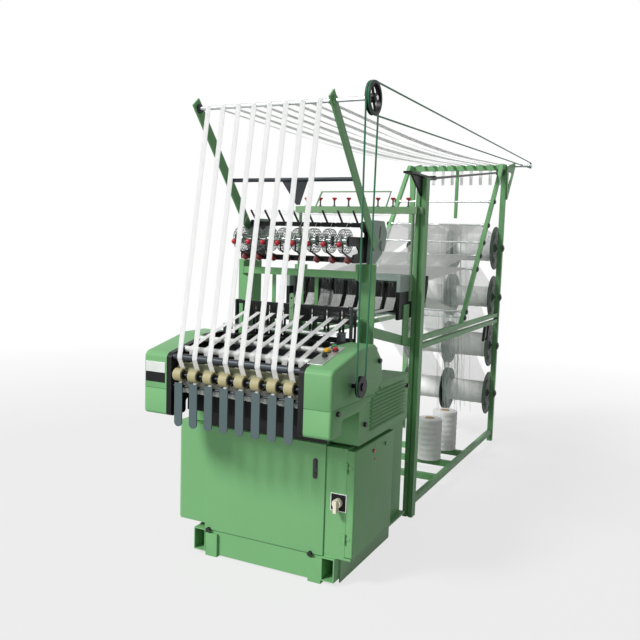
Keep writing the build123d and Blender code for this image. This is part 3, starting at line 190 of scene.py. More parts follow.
class Nodes(Graph):
    """The nodes of one material."""

    def __init__(self, name: str) -> None:
        """Start a material with one shader and its output.

        Args:
            name: the material's name.
        """
        self.material = bpy.data.materials.new(name)
        self.material.use_nodes = True
        super().__init__(self.material.node_tree)
        self.shader = self.tree.nodes["Principled BSDF"]

    def shade(self, values: dict[str, object]) -> None:
        """Set constants on the shader's own sockets."""
        for socket, value in values.items():
            self.shader.inputs[socket].default_value = value

    def place(self, scale: Point, space: str = "Object") -> bpy.types.Node:
        """Coordinates scaled per axis, from the object or from its UV map.

        Args:
            scale: one factor an axis.
            space: the output of Texture Coordinate.
        Returns:
            The node with the scaled coordinates.
        """
        where = self.add("TexCoord")
        spread = self.add("Mapping")
        spread.inputs["Scale"].default_value = tuple(float(share) for share in scale)
        self.join(where, space, spread, "Vector")
        return spread

    def noise(self, scale: float | Point, detail: float) -> bpy.types.Node:
        """Noise with one scale, or one for each axis.

        Args:
            scale: how often it repeats in a metre.
            detail: its octaves.
        Returns:
            The noise node.
        """
        spread = self.place(np.broadcast_to(scale, 3))
        cloud = self.add("TexNoise")
        cloud.inputs["Scale"].default_value = 1.0
        cloud.inputs["Detail"].default_value = detail
        self.join(spread, "Vector", cloud, "Vector")
        return cloud

    def ramp(self, source: bpy.types.Node, low: float, high: float, output: object = 0
             ) -> bpy.types.Node:
        """Map a 0 to 1 signal on to a range.

        Args:
            source: the node with the signal.
            low: the value at 0.
            high: the value at 1.
            output: which output of the source.
        Returns:
            The node with the mapped value.
        """
        change = self.add("MapRange")
        change.inputs["To Min"].default_value = low
        change.inputs["To Max"].default_value = high
        self.join(source, output, change, "Value")
        return change

    def rough(self, source: bpy.types.Node, middle: float, less: float, more: float) -> None:
        """Roughness that a signal carries from less below to more above its middle."""
        self.join(self.ramp(source, middle - less, middle + more), 0, self.shader, "Roughness")

    def bump(self, source: bpy.types.Node, depth: float) -> None:
        """Raise the surface by a signal times depth in metres.

        Args:
            source: the node with the signal.
            depth: height of a signal of 1.
        """
        bump = self.add("Bump")
        bump.inputs["Distance"].default_value = depth
        bump.inputs["Strength"].default_value = 1.0
        self.join(source, 0, bump, "Height")
        self.join(bump, "Normal", self.shader, "Normal")

    def tint(self, source: bpy.types.Node, colour: Colour, spread: float) -> None:
        """Base colour that a signal makes a little darker or lighter.

        Args:
            source: the node with the signal.
            colour: the middle colour.
            spread: the share taken off at 0 and added at 1.
        """
        mix = self.add("Mix", data_type="RGBA")
        base = np.array(linear(colour))
        for socket, share in (("A", 1 - spread), ("B", 1 + spread)):
            mix.inputs[socket].default_value = (*np.clip(base * share, 0, 1)[:3], 1.0)
        self.join(source, 0, mix, "Factor")
        self.join(mix, "Result", self.shader, "Base Color")


@dataclass(frozen=True)
class Finish:
    """A named finish in one colour."""

    name: str
    colour: Colour

    def material(self) -> bpy.types.Material:
        """Build the finish's material.

        Returns:
            The new material.
        """
        nodes = Nodes(self.name)
        self.lay_out(nodes)
        return nodes.material

    def lay_out(self, nodes: Nodes) -> None:
        """Add the nodes that make the finish."""
        raise NotImplementedError


@dataclass(frozen=True)
class Paint(Finish):
    """Sprayed machine paint: soft mottling and orange peel."""

    roughness: float = 0.38
    peel: float = 0.00012
    mottle: float = 0.05
    specular: float = 0.14

    def lay_out(self, nodes: Nodes) -> None:
        """Add the paint's nodes.

        Args:
            nodes: the nodes of the material.
        """
        nodes.tint(nodes.noise(3, 5), self.colour, self.mottle)
        nodes.shade({"Specular IOR Level": self.specular})
        nodes.rough(nodes.noise(9, 3), self.roughness, 0.07, 0.09)
        nodes.bump(nodes.noise(420, 2), self.peel)


@dataclass(frozen=True)
class Metal(Finish):
    """Bare metal with drawn lines along one axis and faint smudges."""

    roughness: float = 0.3
    lines: tuple[float, float, float] = (8.0, 700.0, 700.0)
    depth: float = 0.00004

    def lay_out(self, nodes: Nodes) -> None:
        """Add the metal's nodes.

        Args:
            nodes: the nodes of the material.
        """
        drawn = nodes.noise(self.lines, 4)
        nodes.tint(nodes.noise(14, 4), self.colour, 0.12)
        nodes.shade({"Metallic": 1.0})
        nodes.rough(drawn, self.roughness, 0.1, 0.14)
        nodes.bump(drawn, self.depth)


@dataclass(frozen=True)
class Moulding(Finish):
    """Moulded plastic or rubber with a fine grain."""

    roughness: float = 0.35
    grain: float = 0.00005
    scale: float = 900.0
    spread: float = 0.04

    def lay_out(self, nodes: Nodes) -> None:
        """Add the moulding's nodes.

        Args:
            nodes: the nodes of the material.
        """
        nodes.tint(nodes.noise(25, 4), self.colour, self.spread)
        nodes.rough(nodes.noise(60, 2), self.roughness, 0.06, 0.08)
        nodes.bump(nodes.noise(self.scale, 2), self.grain)


@dataclass(frozen=True)
class Woven(Finish):
    """Tape weave read from the strip's own UV map, with u across and v along it in metres."""

    warp_pitch: float = 0.0011
    weft_pitch: float = 0.0016
    relief: float = 0.00022
    wave_scale: float = 0.314

    def lay_out(self, nodes: Nodes) -> None:
        """Add the weave: a checker of warp and weft floats, rounded by waves.

        Args:
            nodes: the nodes of the material.
        """
        where = nodes.place((1 / self.warp_pitch, 1 / self.weft_pitch, 1), "UV")
        weave = nodes.add("Math", operation="MAXIMUM")
        for socket, direction in enumerate("XY"):
            wave = nodes.add("TexWave", wave_type="BANDS", bands_direction=direction)
            wave.inputs["Scale"].default_value = self.wave_scale
            nodes.join(where, "Vector", wave, "Vector")
            nodes.join(wave, "Fac", weave, socket)
        # The tint shares the weave's bump signal, so the low parts of the weave are painted up to
        # 7% darker and the floats lighter: painted shade in the hollows of the weave.
        nodes.tint(weave, self.colour, 0.07)
        nodes.shade({"Roughness": 0.8, "Sheen Weight": 0.25, "Subsurface Weight": 0.85,
                     "Subsurface Radius": (1.0, 1.0, 1.0), "Subsurface Scale": 0.004})
        nodes.bump(weave, self.relief)


@dataclass(frozen=True)
class Wound(Finish):
    """Yarn wound on a barrel along X, or thread: close rings with uneven tension."""

    pitch: float = 0.0016
    relief: float = 0.0005

    def lay_out(self, nodes: Nodes) -> None:
        """Add the winding: fine bands across X over slow lumps.

        Args:
            nodes: the nodes of the material.
        """
        bands = nodes.noise((1 / self.pitch, 6, 6), 3)
        nodes.tint(nodes.noise((26, 4, 4), 4), self.colour, 0.06)
        nodes.shade({"Roughness": 0.78, "Sheen Weight": 0.3})
        nodes.bump(bands, self.relief)


GREEN, CAST, BLACK, SHEET = "loom_green_paint", "casting_paint", "black_paint", "grey_sheet"
STEEL, DARK_STEEL, BLACK_PLASTIC = "bright_steel", "dark_steel", "black_plastic"
THREAD, WOUND_YARN = "thread", "wound_yarn"
FINISHES = {finish.name: finish for finish in (
    Paint(GREEN, Colour.LOOM_GREEN),
    Paint(CAST, Colour.CAST_GREEN, 0.45, 0.0003, 0.08),
    Paint(BLACK, Colour.INK_BLACK, 0.42, 0.00008, 0.2, 0.2),
    Paint(SHEET, Colour.GREY_SHEET, 0.5, 0.00004, 0.06, 0.4),
    Paint("lever_slate", Colour.SLATE, 0.42, 0.00005, 0.1),
    Paint("flange_paint", Colour.FLANGE, 0.4, 0.0001, 0.12),
    Metal(STEEL, Colour.STEEL, 0.26),
    Metal("dark_chrome", Colour.CHROME, 0.22),
    Metal(DARK_STEEL, Colour.DARK_STEEL, 0.42),
    Metal("brushed_plate", Colour.PLATE, 0.34, (12, 900, 12)),
    Moulding("guide_satin", Colour.GUIDE_GREY, 0.28),
    Moulding("drum_rubber", Colour.DRUM_KHAKI, 0.6, 0.00015, 420, 0.12),
    Moulding("khaki_rubber", Colour.KHAKI, 0.55, 0.0001, 500, 0.1),
    Moulding("belt_rubber", Colour.BELT_GREEN, 0.5, 0.0001, 700, 0.1),
    Moulding("card_tube", Colour.CARD, 0.8, 0.0002, 300, 0.1),
    Moulding(BLACK_PLASTIC, Colour.INK_BLACK, 0.4),
    Moulding("white_plastic", Colour.WHITE, 0.3),
    Moulding("cream_plastic", Colour.CREAM, 0.3),
    Moulding("red_plastic", Colour.RED, 0.25),
    Moulding("dark_red_plastic", Colour.DARK_RED, 0.3),
    Moulding("yellow_plastic", Colour.YELLOW, 0.3),
    Moulding("green_plastic", Colour.BUTTON_GREEN, 0.3),
    Moulding("lamp_green", Colour.LAMP_GREEN, 0.15),
    Woven("white_tape", Colour.WHITE),
    Wound(WOUND_YARN, Colour.WHITE),
    Wound(THREAD, Colour.WHITE, 0.004, 0.0001),
    Wound("spare_yarn", Colour.YARN_GREY, 0.004, 0.0001),
)}


@cache
def coat(name: str) -> bpy.types.Material:
    """Material of a finish, built when it is first asked for."""
    return FINISHES[name].material()


def at(x: float, back: float, z: float) -> np.ndarray:
    """Point given across, back from the press roller line, and up."""
    return np.array([x, back - BASE_BACK, z])


def outward(angle: float) -> np.ndarray:
    """Direction of length one at an angle round X."""
    return np.array([0.0, math.cos(angle), math.sin(angle)])


def incline_back(z: float) -> float:
    """Distance back of the creel's sloping bars at a height."""
    return INCLINE_FOOT[0] + (z - INCLINE_FOOT[1]) / INCLINE_SLOPE


def level_path(x: float, line: np.ndarray) -> np.ndarray:
    """Points at one x value from a line of backs and heights."""
    return np.stack([np.full(len(line), x), line[:, 0] - BASE_BACK, line[:, 1]], axis=1)


def linked(name: str, data: bpy.types.ID) -> bpy.types.Object:
    """New object of a mesh, lamp or camera, in the scene.

    Args:
        name: the object's name.
        data: what it shows or holds.
    Returns:
        The linked object.
    """
    piece = bpy.data.objects.new(name, data)
    bpy.context.scene.collection.objects.link(piece)
    return piece


def smoothed(mesh: bpy.types.Mesh, degrees: float) -> None:
    """Shade a mesh smoothly up to an angle."""
    mesh.shade_smooth()
    mesh.set_sharp_from_angle(angle=math.radians(degrees))


def mesh_object(name: str, points: np.ndarray, faces: Iterable[Sequence[int]]) -> bpy.types.Object:
    """Object from points and faces, with its place in its mesh.

    Args:
        name: the piece's name.
        points: corners, one row each.
        faces: corner numbers of each face.
    Returns:
        The linked object.
    """
    mesh = bpy.data.meshes.new(name)
    corners = np.asarray(points, float).reshape(-1, 3).tolist()
    mesh.from_pydata(corners, [], [tuple(face) for face in faces])
    mesh.update()
    return linked(name, mesh)


def grid_faces(rows: int, columns: int, close_rows: bool, close_columns: bool) -> np.ndarray:
    """Quads of a grid of points.

    Args:
        rows: points along the first parameter.
        columns: points along the second parameter.
        close_rows: whether the last row joins the first.
        close_columns: whether the last column joins the first.
    Returns:
        Four corner numbers a quad.
    """
    i = np.arange(rows if close_rows else rows - 1)[:, None]
    j = np.arange(columns if close_columns else columns - 1)[None, :]
    near, far = i * columns, ((i + 1) % rows) * columns
    side = (j + 1) % columns
    return np.stack([near + j, near + side, far + side, far + j], axis=-1).reshape(-1, 4)


class Shape:
    """Points and faces gathered for one piece."""

    def __init__(self) -> None:
        """Start empty."""
        self.points: list[np.ndarray] = []
        self.faces: list[tuple[int, ...]] = []
        self.count = 0

    def add(self, points: np.ndarray, faces: Iterable[Sequence[int]]) -> None:
        """Add one closed surface.

        Args:
            points: corners, in an array whose last axis is x, y and z.
            faces: corner numbers of each face, from zero.
        """
        flat = np.asarray(points, float).reshape(-1, 3)
        self.points.append(flat)
        self.faces.extend(tuple(int(c) + self.count for c in f) for f in faces)
        self.count += len(flat)

    def sweep(self, rings: np.ndarray, closed: bool = False) -> None:
        """Add a skin over rings of points, capped at both ends unless closed.

        Args:
            rings: an array of rings by points by three.
            closed: whether the last ring joins the first.
        """
        rows, columns = rings.shape[:2]
        faces = [tuple(f) for f in grid_faces(rows, columns, closed, True)]
        if not closed:
            faces.append(tuple(range(columns - 1, -1, -1)))
            faces.append(tuple((rows - 1) * columns + k for k in range(columns)))
        self.add(rings, faces)

    def lathe(self, profile: Profile, centre: Point, axis: str = "X", sides: int = 40,
              closed: bool = False) -> None:
        """Add a turned form: profile points (along, radius) carried round the axis.

        Args:
            profile: distances along the axis and radii.
            centre: a point on the axis, where along is zero.
            axis: X, Y or Z.
            sides: steps round the axis.
            closed: whether the profile is a loop, for a ring with a bore.
        """
        along, radius = np.array(profile, float).T
        angle = np.linspace(0, 2 * np.pi, sides, endpoint=False)
        rings = np.empty((len(along), sides, 3))
        main = "XYZ".index(axis)
        first, second = (main + 1) % 3, (main + 2) % 3
        rings[..., main] = along[:, None]
        rings[..., first] = radius[:, None] * np.cos(angle)
        rings[..., second] = radius[:, None] * np.sin(angle)
        self.sweep(rings + np.array(centre, float), closed)

    def turn(self, profile: Profile, centre: Point, sides: int = 40, axis: str = "X") -> None:
        """Add a solid turned form as lathe does, its two ends closed down to the axis.

        Args:
            profile: distances along the axis and radii.
            centre: a point on the axis, where along is zero.
            sides: steps round the axis.
            axis: X, Y or Z.
        """
        solid = [(profile[0][0], CORE), *profile]
        if profile[-1][1] > CORE:
            solid.append((profile[-1][0], CORE))
        self.lathe(solid, centre, axis, sides)

    def pair(self, profile: Profile, centre: Point, sides: int = 40) -> None:
        """Add a solid turned form along X and its mirror image."""
        for side in (1, -1):
            self.turn([(side * along, radius) for along, radius in profile], centre, sides)

    def tube(self, path: np.ndarray, radius: float | np.ndarray, sides: int = 8,
             closed: bool = False) -> None:
        """Add a round tube along a path, its rings turned from one fixed direction.

        Args:
            path: points along the tube.
            radius: one radius or one a point.
            sides: steps round the tube.
            closed: whether the path is a loop.
        """
        path = np.asarray(path, float)
        if closed:
            ahead = np.roll(path, -1, 0) - np.roll(path, 1, 0)
        else:
            ahead = np.gradient(path, axis=0)
        ahead /= np.linalg.norm(ahead, axis=1, keepdims=True)
        helper = np.eye(3)[int(np.argmin(np.abs(ahead).max(0)))]
        across = np.cross(ahead, helper)
        across /= np.linalg.norm(across, axis=1, keepdims=True)
        over = np.cross(ahead, across)
        angle = np.linspace(0, 2 * np.pi, sides, endpoint=False)[None, :, None]
        size = np.broadcast_to(np.asarray(radius, float), (len(path),))[:, None, None]
        round_it = across[:, None] * np.cos(angle) + over[:, None] * np.sin(angle)
        self.sweep(path[:, None] + size * round_it, closed)

    def boxes(self, centres: np.ndarray, half: np.ndarray) -> None:
        """Add many blocks at once.

        Args:
            centres: one centre a block.
            half: half sizes, one row a block.
        """
        pick = np.array([[-1, -1, -1], [1, -1, -1], [1, 1, -1], [-1, 1, -1],
                         [-1, -1, 1], [1, -1, 1], [1, 1, 1], [-1, 1, 1]])
        faces = np.array([(0, 3, 2, 1), (4, 5, 6, 7), (0, 1, 5, 4),
                          (1, 2, 6, 5), (2, 3, 7, 6), (3, 0, 4, 7)])
        points = centres[:, None] + pick[None] * half[:, None]
        firsts = len(pick) * np.arange(len(centres))[:, None, None]
        self.add(points, (faces[None] + firsts).reshape(-1, 4))

    def slab(self, low: Point, high: Point) -> None:
        """Add a rectangular block between two corners."""
        low, high = np.array([low, high], float)
        self.boxes((low + high)[None] / 2, (high - low)[None] / 2)

    def make(self, name: str, finish: str, slot: str, body: str = ROOT, bevel: float = 0.0,
             replaces: Sequence[str] = ()) -> bpy.types.Object:
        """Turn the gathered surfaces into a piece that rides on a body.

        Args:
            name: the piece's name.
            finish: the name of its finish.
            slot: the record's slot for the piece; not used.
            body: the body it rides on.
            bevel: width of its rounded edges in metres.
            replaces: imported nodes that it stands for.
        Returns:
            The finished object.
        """
        piece = mesh_object(name, np.concatenate(self.points), self.faces)
        smoothed(piece.data, 35)
        turn_outwards(piece)
        piece.data.materials.append(coat(finish))
        if bevel:
            round_edges(piece, bevel)
        return settle(piece, body, replaces)


def turn_outwards(piece: bpy.types.Object) -> None:
    """Point every face of a closed mesh outwards.

    Args:
        piece: an object whose mesh is closed.
    """
    work = bmesh.new()
    work.from_mesh(piece.data)
    bmesh.ops.recalc_face_normals(work, faces=work.faces)
    work.to_mesh(piece.data)
    work.free()


def round_edges(piece: bpy.types.Object, width: float) -> None:
    """Give a piece's corners a small radius.

    Args:
        piece: the object to round.
        width: the bevel's width in metres.
    """
    rounding = piece.modifiers.new("edges", "BEVEL")
    rounding.width = width
    rounding.segments = 2
    rounding.limit_method = "ANGLE"
    rounding.angle_limit = math.radians(32)
    rounding.use_clamp_overlap = True
    rounding.harden_normals = True


def settle(piece: bpy.types.Object, body: str, replaces: Sequence[str]
           ) -> bpy.types.Object:
    """Let a piece ride on a body and the nodes that it stands for.

    Args:
        piece: the finished object.
        body: the body it rides on.
        replaces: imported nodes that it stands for.
    Returns:
        The same object.
    """
    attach(piece, body)
    if replaces:
        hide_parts(*replaces)
    log.info("%s rides on %s", piece.name, body)
    return piece


def rounded_profile(width: float, radius: float, edge: float) -> Profile:
    """Profile of a plain roller with rounded rims.

    Args:
        width: length along the axis, centred on zero.
        radius: the roller's radius.
        edge: radius of its rims.
    Returns:
        Points as distance along the axis and radius.
    """
    turn = np.linspace(np.pi / 2, 0, 4)
    rim = [(edge * (1 - math.sin(a)) - width / 2, radius - edge * (1 - math.cos(a))) for a in turn]
    return rim + [(-along, size) for along, size in rim[::-1]]


@dataclass
class Dressing:
    """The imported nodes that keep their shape: their finishes, with rounded copies of most."""

    frame: dict

    def rounded(self, node: str, width: float, *finishes: str,
                where: Callable[..., np.ndarray] | None = None,
                cut: float | None = None) -> None:
        """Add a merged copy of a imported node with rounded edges, which stands for the node.

        Args:
            node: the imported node.
            width: radius of the edges.
            finishes: names of its finishes.
            where: tells from the faces' centres the number of each face's finish.
            cut: a height at which faces are split, so that the finishes can part there.
        """
        source = self.frame["nodes"][node]
        work = bmesh.new()
        work.from_mesh(source.data)
        bmesh.ops.remove_doubles(work, verts=work.verts, dist=2e-6)
        bmesh.ops.dissolve_limit(work, angle_limit=math.radians(0.6), verts=work.verts,
                                 edges=work.edges)
        if cut is not None:
            whole = [*work.verts, *work.edges, *work.faces]
            bmesh.ops.bisect_plane(work, geom=whole, plane_co=(0, 0, cut), plane_no=(0, 0, 1))
        mesh = bpy.data.meshes.new(f"{node}_dressed")
        work.to_mesh(mesh)
        work.free()
        smoothed(mesh, 32)
        piece = linked(mesh.name, mesh)
        for finish in finishes:
            mesh.materials.append(coat(finish))
        if where is not None:
            centre = np.empty(len(mesh.polygons) * 3)
            mesh.polygons.foreach_get("center", centre)
            numbers = where(*centre.reshape(-1, 3).T).astype(np.int32)
            mesh.polygons.foreach_set("material_index", numbers)
        round_edges(piece, width)
        settle(piece, source["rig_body"], [node])

    def build(self) -> None:
        """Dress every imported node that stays."""
        for finish, width, nodes in (
            (GREEN, 0.0016, ("base_frame", "main_cabinet", "front_panel", "side_box",
                             "electric_box", "electric_door", "louvre_covers", "loom_uprights")),
            (GREEN, 0.001, ("end_housings",)),
            (GREEN, 0.0012, ("creel_frame",)),
            (CAST, 0.001, ("yarn_rail",)),
            (SHEET, 0.002, ("end_brackets",)),
            (BLACK, 0.0012, ("side_plates",)),
            (BLACK, 0.0008, ("feeder_frame",)),
            (BLACK, 0.0006, ("batten",)),
            (DARK_STEEL, 0.001, ("needle_bed",)),
            ("lever_slate", 0.0009, tuple(f"release_lever_{i + 1}" for i in range(8))),
        ):
            for node in nodes:
                self.rounded(node, width, finish)
        # The loom bed's middle front takes black paint as painted shade: it stands for the dark,
        # shaded cavity behind the levers, while its outer parts and rear stay green.
        self.rounded("loom_bed", 0.0016, BLACK, GREEN,
                     where=lambda x, y, z: (np.abs(x) > 0.334) | (y > 0.02))
        self.rounded("support_arms", 0.001, GREEN, DARK_STEEL,
                     where=lambda x, y, z: np.abs(x) < 0.356)
        # The frontmost axle (y below -0.56), the lever axle, takes dark steel as painted shade: it
        # stands for the shade it lies in behind the levers; the guides stay satin grey.
        self.rounded("front_axles", 0.0004, "guide_satin", DARK_STEEL,
                     where=lambda x, y, z: y < -0.56)
        self.rounded("door_lamps", 0.0005, "red_plastic", "lamp_green",
                     where=lambda x, y, z: y > -0.04)
        self.rounded("harness_guides", 0.0008, BLACK, GREEN, SHEET, cut=1.374,
                     where=lambda x, y, z: np.where(
                         z < 1.2, 1, np.where((z > 1.374) & (np.abs(x) > 0.344), 2, 0)))
        self.rounded("creel_rods", 0.0005, STEEL, BLACK, DARK_STEEL,
                     where=lambda x, y, z: np.where(
                         y < 0.93, 1, np.where((z > 2.02) & (x > 0.339), 2, 0)))
        self.rounded("face_plates", 0.0006, "brushed_plate", BLACK, cut=1.0,
                     where=lambda x, y, z: ((z < 1.0) & (x < -0.37)) | ((z < 0.8) & (x > 0)))
        for finish, nodes in {
            GREEN: ("door_hinges",),
            BLACK: ("drive_shaft", "weft_needles", "let_off_weights"),
            SHEET: ("heddle_frames_a", "heddle_frames_b"),
            STEEL: ("latch_needles", "rear_roller"),
            BLACK_PLASTIC: ("control_gear", "black_knobs", "button_black"),
            "drum_rubber": ("takeup_drum",),
            "cream_plastic": ("rotary_knob",),
            "yellow_plastic": ("button_yellow",),
            "red_plastic": ("button_red",),
            "green_plastic": ("button_green",),
        }.items():
            for node in nodes:
                materials = self.frame["nodes"][node].data.materials
                materials.clear()
                materials.append(coat(finish))


@dataclass(frozen=True)
class Stop:
    """A round bar that a strip lies on, or a bare end when the radius is zero."""

    back: float
    z: float
    radius: float = 0.0
    turn: int = 0


def strip_line(stops: Sequence[Stop], arc_step: float = math.radians(5)) -> np.ndarray:
    """Centre line of a strip that is pulled round circles: tangent lines joined by arcs.

    Args:
        stops: the circles in order, with turn 1 for a circle on the left of travel.
        arc_step: largest angle between points on an arc.
    Returns:
        Points as back and height.
    """
    ends = []
    for a, b in zip(stops, stops[1:]):
        gap = math.hypot(b.back - a.back, b.z - a.z)
        tilt = math.asin((b.turn * b.radius - a.turn * a.radius) / gap)
        heading = math.atan2(b.z - a.z, b.back - a.back) - tilt
        left = np.array([-math.sin(heading), math.cos(heading)])
        ends.append((np.array([a.back, a.z]) - a.turn * a.radius * left,
                     np.array([b.back, b.z]) - b.turn * b.radius * left))
    line = [ends[0][0][None]]
    for stop, (_, reached), (leaves, _) in zip(stops[1:-1], ends, ends[1:]):
        centre = np.array([stop.back, stop.z])
        first = math.atan2(*(reached - centre)[::-1])
        last = math.atan2(*(leaves - centre)[::-1])
        last += 2 * math.pi * round((stop.turn * 1e-9 + first - last) / (2 * math.pi))
        if (last - first) * stop.turn < 0:
            last += 2 * math.pi * stop.turn
        count = max(2, int(abs(last - first) / arc_step) + 2) if stop.radius < 1 else 40
        angle = np.linspace(first, last, count)
        line.append(centre + stop.radius * np.stack([np.cos(angle), np.sin(angle)], axis=1))
    line.append(ends[-1][1][None])
    return np.concatenate(line)


@dataclass
class Tapes:
    """The woven tapes from the reed round guides, drum, press roller and top shaft to the rear."""

    width: float = 0.028
    thickness: float = 0.001
    off: float = 0.0008
    crown: float = 0.00015
    twist: float = math.radians(24)
    sag_radius: float = 25.4
    sag_drop: float = 0.035

    def stops(self) -> list[Stop]:
        """Bars that the tape passes, in order from the reed.

        Returns:
            The stops, with each bar's radius out to the tape's middle.
        """
        top, rear = np.array(TOP_SHAFT), np.array(REAR_ROLLER)
        run = rear - top
        length = float(np.linalg.norm(run))
        upward = np.array([-run[1], run[0]]) / length
        sag = (top + rear) / 2 + upward * (self.sag_radius - self.sag_drop)
        return [
            Stop(0.572, 1.262),
            Stop(0.225, 1.146, 0.013 + self.off, 1),
            Stop(0.106, 1.106, 0.015 + self.off, 1),
            Stop(*DRUM, 0.035 + self.off, -1),
            Stop(*PRESS_LINE, 0.030 + self.off, 1),
            Stop(0.012, 1.080, 0.015 + self.off, -1),
            Stop(*TOP_SHAFT, 0.010 + self.off, -1),
            Stop(float(sag[0]), float(sag[1]), self.sag_radius, 1),
            Stop(*REAR_ROLLER, 0.014 + self.off, -1),
            Stop(REAR_ROLLER[0] + 0.0153, REAR_ROLLER[1] - 0.160),
        ]

    def build(self) -> None:
        """Build one sheet a head, its cross-section a flat lens carried along the centre line.

        Between the top shaft and the rear the section turns by a squared sine wave.
        """
        line = strip_line(self.stops())
        ahead = np.gradient(line, axis=0)
        ahead /= np.linalg.norm(ahead, axis=1, keepdims=True)
        lift = np.stack([-ahead[:, 1], ahead[:, 0]], axis=1)
        steps = np.linalg.norm(np.diff(line, axis=0), axis=1)
        length = np.concatenate([[0], np.cumsum(steps)])
        u = np.array([-1, -0.96, -0.5, 0, 0.5, 0.96, 1, 0.96, 0.5, 0, -0.5, -0.96])
        side = np.array([0, 1, 1, 1, 1, 1, 0, -1, -1, -1, -1, -1])
        height = side * (self.thickness / 2 - self.crown * u**2)
        part = np.clip((line[:, 0] - 0.26) / 3.40, 0, 1) * (line[:, 1] > 2.0)
        for number, x in enumerate(HEADS, 1):
            uneven = (-1) ** number * (1 + 0.12 * math.sin(3.0 * number))
            turn = (self.twist * np.sin(np.pi * part) ** 2 * uneven)[:, None]
            across = u * self.width / 2 * np.cos(turn) - height * np.sin(turn)
            raised = height * np.cos(turn) + u * self.width / 2 * np.sin(turn)
            rings = np.empty((len(line), len(u), 3))
            rings[..., 0] = x + across
            rings[..., 1] = line[:, 0, None] - BASE_BACK + lift[:, 0, None] * raised
            rings[..., 2] = line[:, 1, None] + lift[:, 1, None] * raised
            shape = Shape()
            shape.sweep(rings)
            piece = shape.make(f"tape_{number}", "white_tape", "white_fabric",
                               replaces=["tapes"] if number == 1 else ())
            self.unwrap(piece, u, length)

    def unwrap(self, piece: bpy.types.Object, u: np.ndarray, length: np.ndarray) -> None:
        """Lay the UV map: u across the tape and v along it, both in metres.

        Args:
            piece: a tape.
            u: each corner's place across, from -1 to 1.
            length: each ring's distance along the tape.
        """
        layer = piece.data.uv_layers.new(name="UVMap")
        corner = np.empty(len(piece.data.loops), int)
        piece.data.loops.foreach_get("vertex_index", corner)
        across = (u[corner % len(u)] + 1) / 2 * self.width
        along = length[corner // len(u)]
        layer.data.foreach_set("uv", np.stack([across, along], axis=1).ravel())


@dataclass
class Belts:
    """Round drive belts in their grooves: loops of two arcs and two straight runs."""

    radius: float = 0.0042
    clearance: float = 0.0004
    front_x: float = 0.545
    rear_x: float = 0.555
    low_groove: float = 0.042
    top_groove: float = 0.066
    rear_groove: float = 0.017

    def build(self) -> None:
        """Build both belts as one piece."""
        off = self.radius + self.clearance
        low = Stop(*DRIVE_SHAFT, self.low_groove + off, 1)
        top = Stop(*TOP_SHAFT, self.top_groove + off, 1)
        rear = Stop(*REAR_ROLLER, self.rear_groove + off, 1)
        shape = Shape()
        for x, ends in ((self.front_x, [low, top]), (self.rear_x, [top, rear])):
            line = strip_line(ends * 2, math.radians(8))
            start = int(np.argmin(np.linalg.norm(line[2:] - line[1], axis=1))) + 2
            shape.tube(level_path(x, line[1:start]), self.radius, 10, closed=True)
        shape.make("drive_belts", "belt_rubber", "belt_rubber", replaces=["belts"])


@dataclass
class WarpYarns:
    """Warp yarns from the beams over the rods to the comb, and on to the reed."""

    yarns_per_half: int = 80
    yarns_per_head: int = 32
    radius: float = 0.0008
    seed: int = 7
    comb: tuple[float, float] = (1.353, 1.380)
    rods: tuple[float, ...] = (1.813, 1.578, 1.480, 1.178)
    levels: tuple[float, ...] = (0.039, 0.027, 0.015, 0.003)

    def build(self) -> None:
        """Build the creel's sheets and the ribbons of the heads.

        Each yarn is a thin tube on a line of tangents and arcs at its own x value.
        """
        spread = np.random.default_rng(self.seed)
        shape = Shape()
        for z, yarn, rod, level in zip(BEAM_HEIGHTS, WINDINGS, self.rods, self.levels):
            line = strip_line([
                Stop(BEAM_BACK, z, yarn + self.radius, 1),
                Stop(incline_back(rod), rod, ROD_RADIUS + self.radius, 1),
                Stop(self.comb[0], self.comb[1] + level),
            ], math.radians(20))
            for side in (1, -1):
                start = side * np.linspace(0.028, 0.342, self.yarns_per_half)
                start += spread.normal(0, 0.0008, self.yarns_per_half)
                for x in np.clip(np.abs(start), 0.0265, 0.3435) * side:
                    shape.tube(level_path(x, line), self.radius, 3)
        ribbon = np.array([[1.192, 1.338], [1.153, 1.2722], [1.140, CLOTH_Z], [0.646, CLOTH_Z]])
        for head in HEADS:
            across = head + np.linspace(-0.0285, 0.0285, self.yarns_per_head)
            for x in across[np.abs(across) < 0.326]:
                shape.tube(level_path(x, ribbon), self.radius, 3)
        shape.make("warp_yarns", THREAD, "white_fabric", replaces=["warp_sheets"])


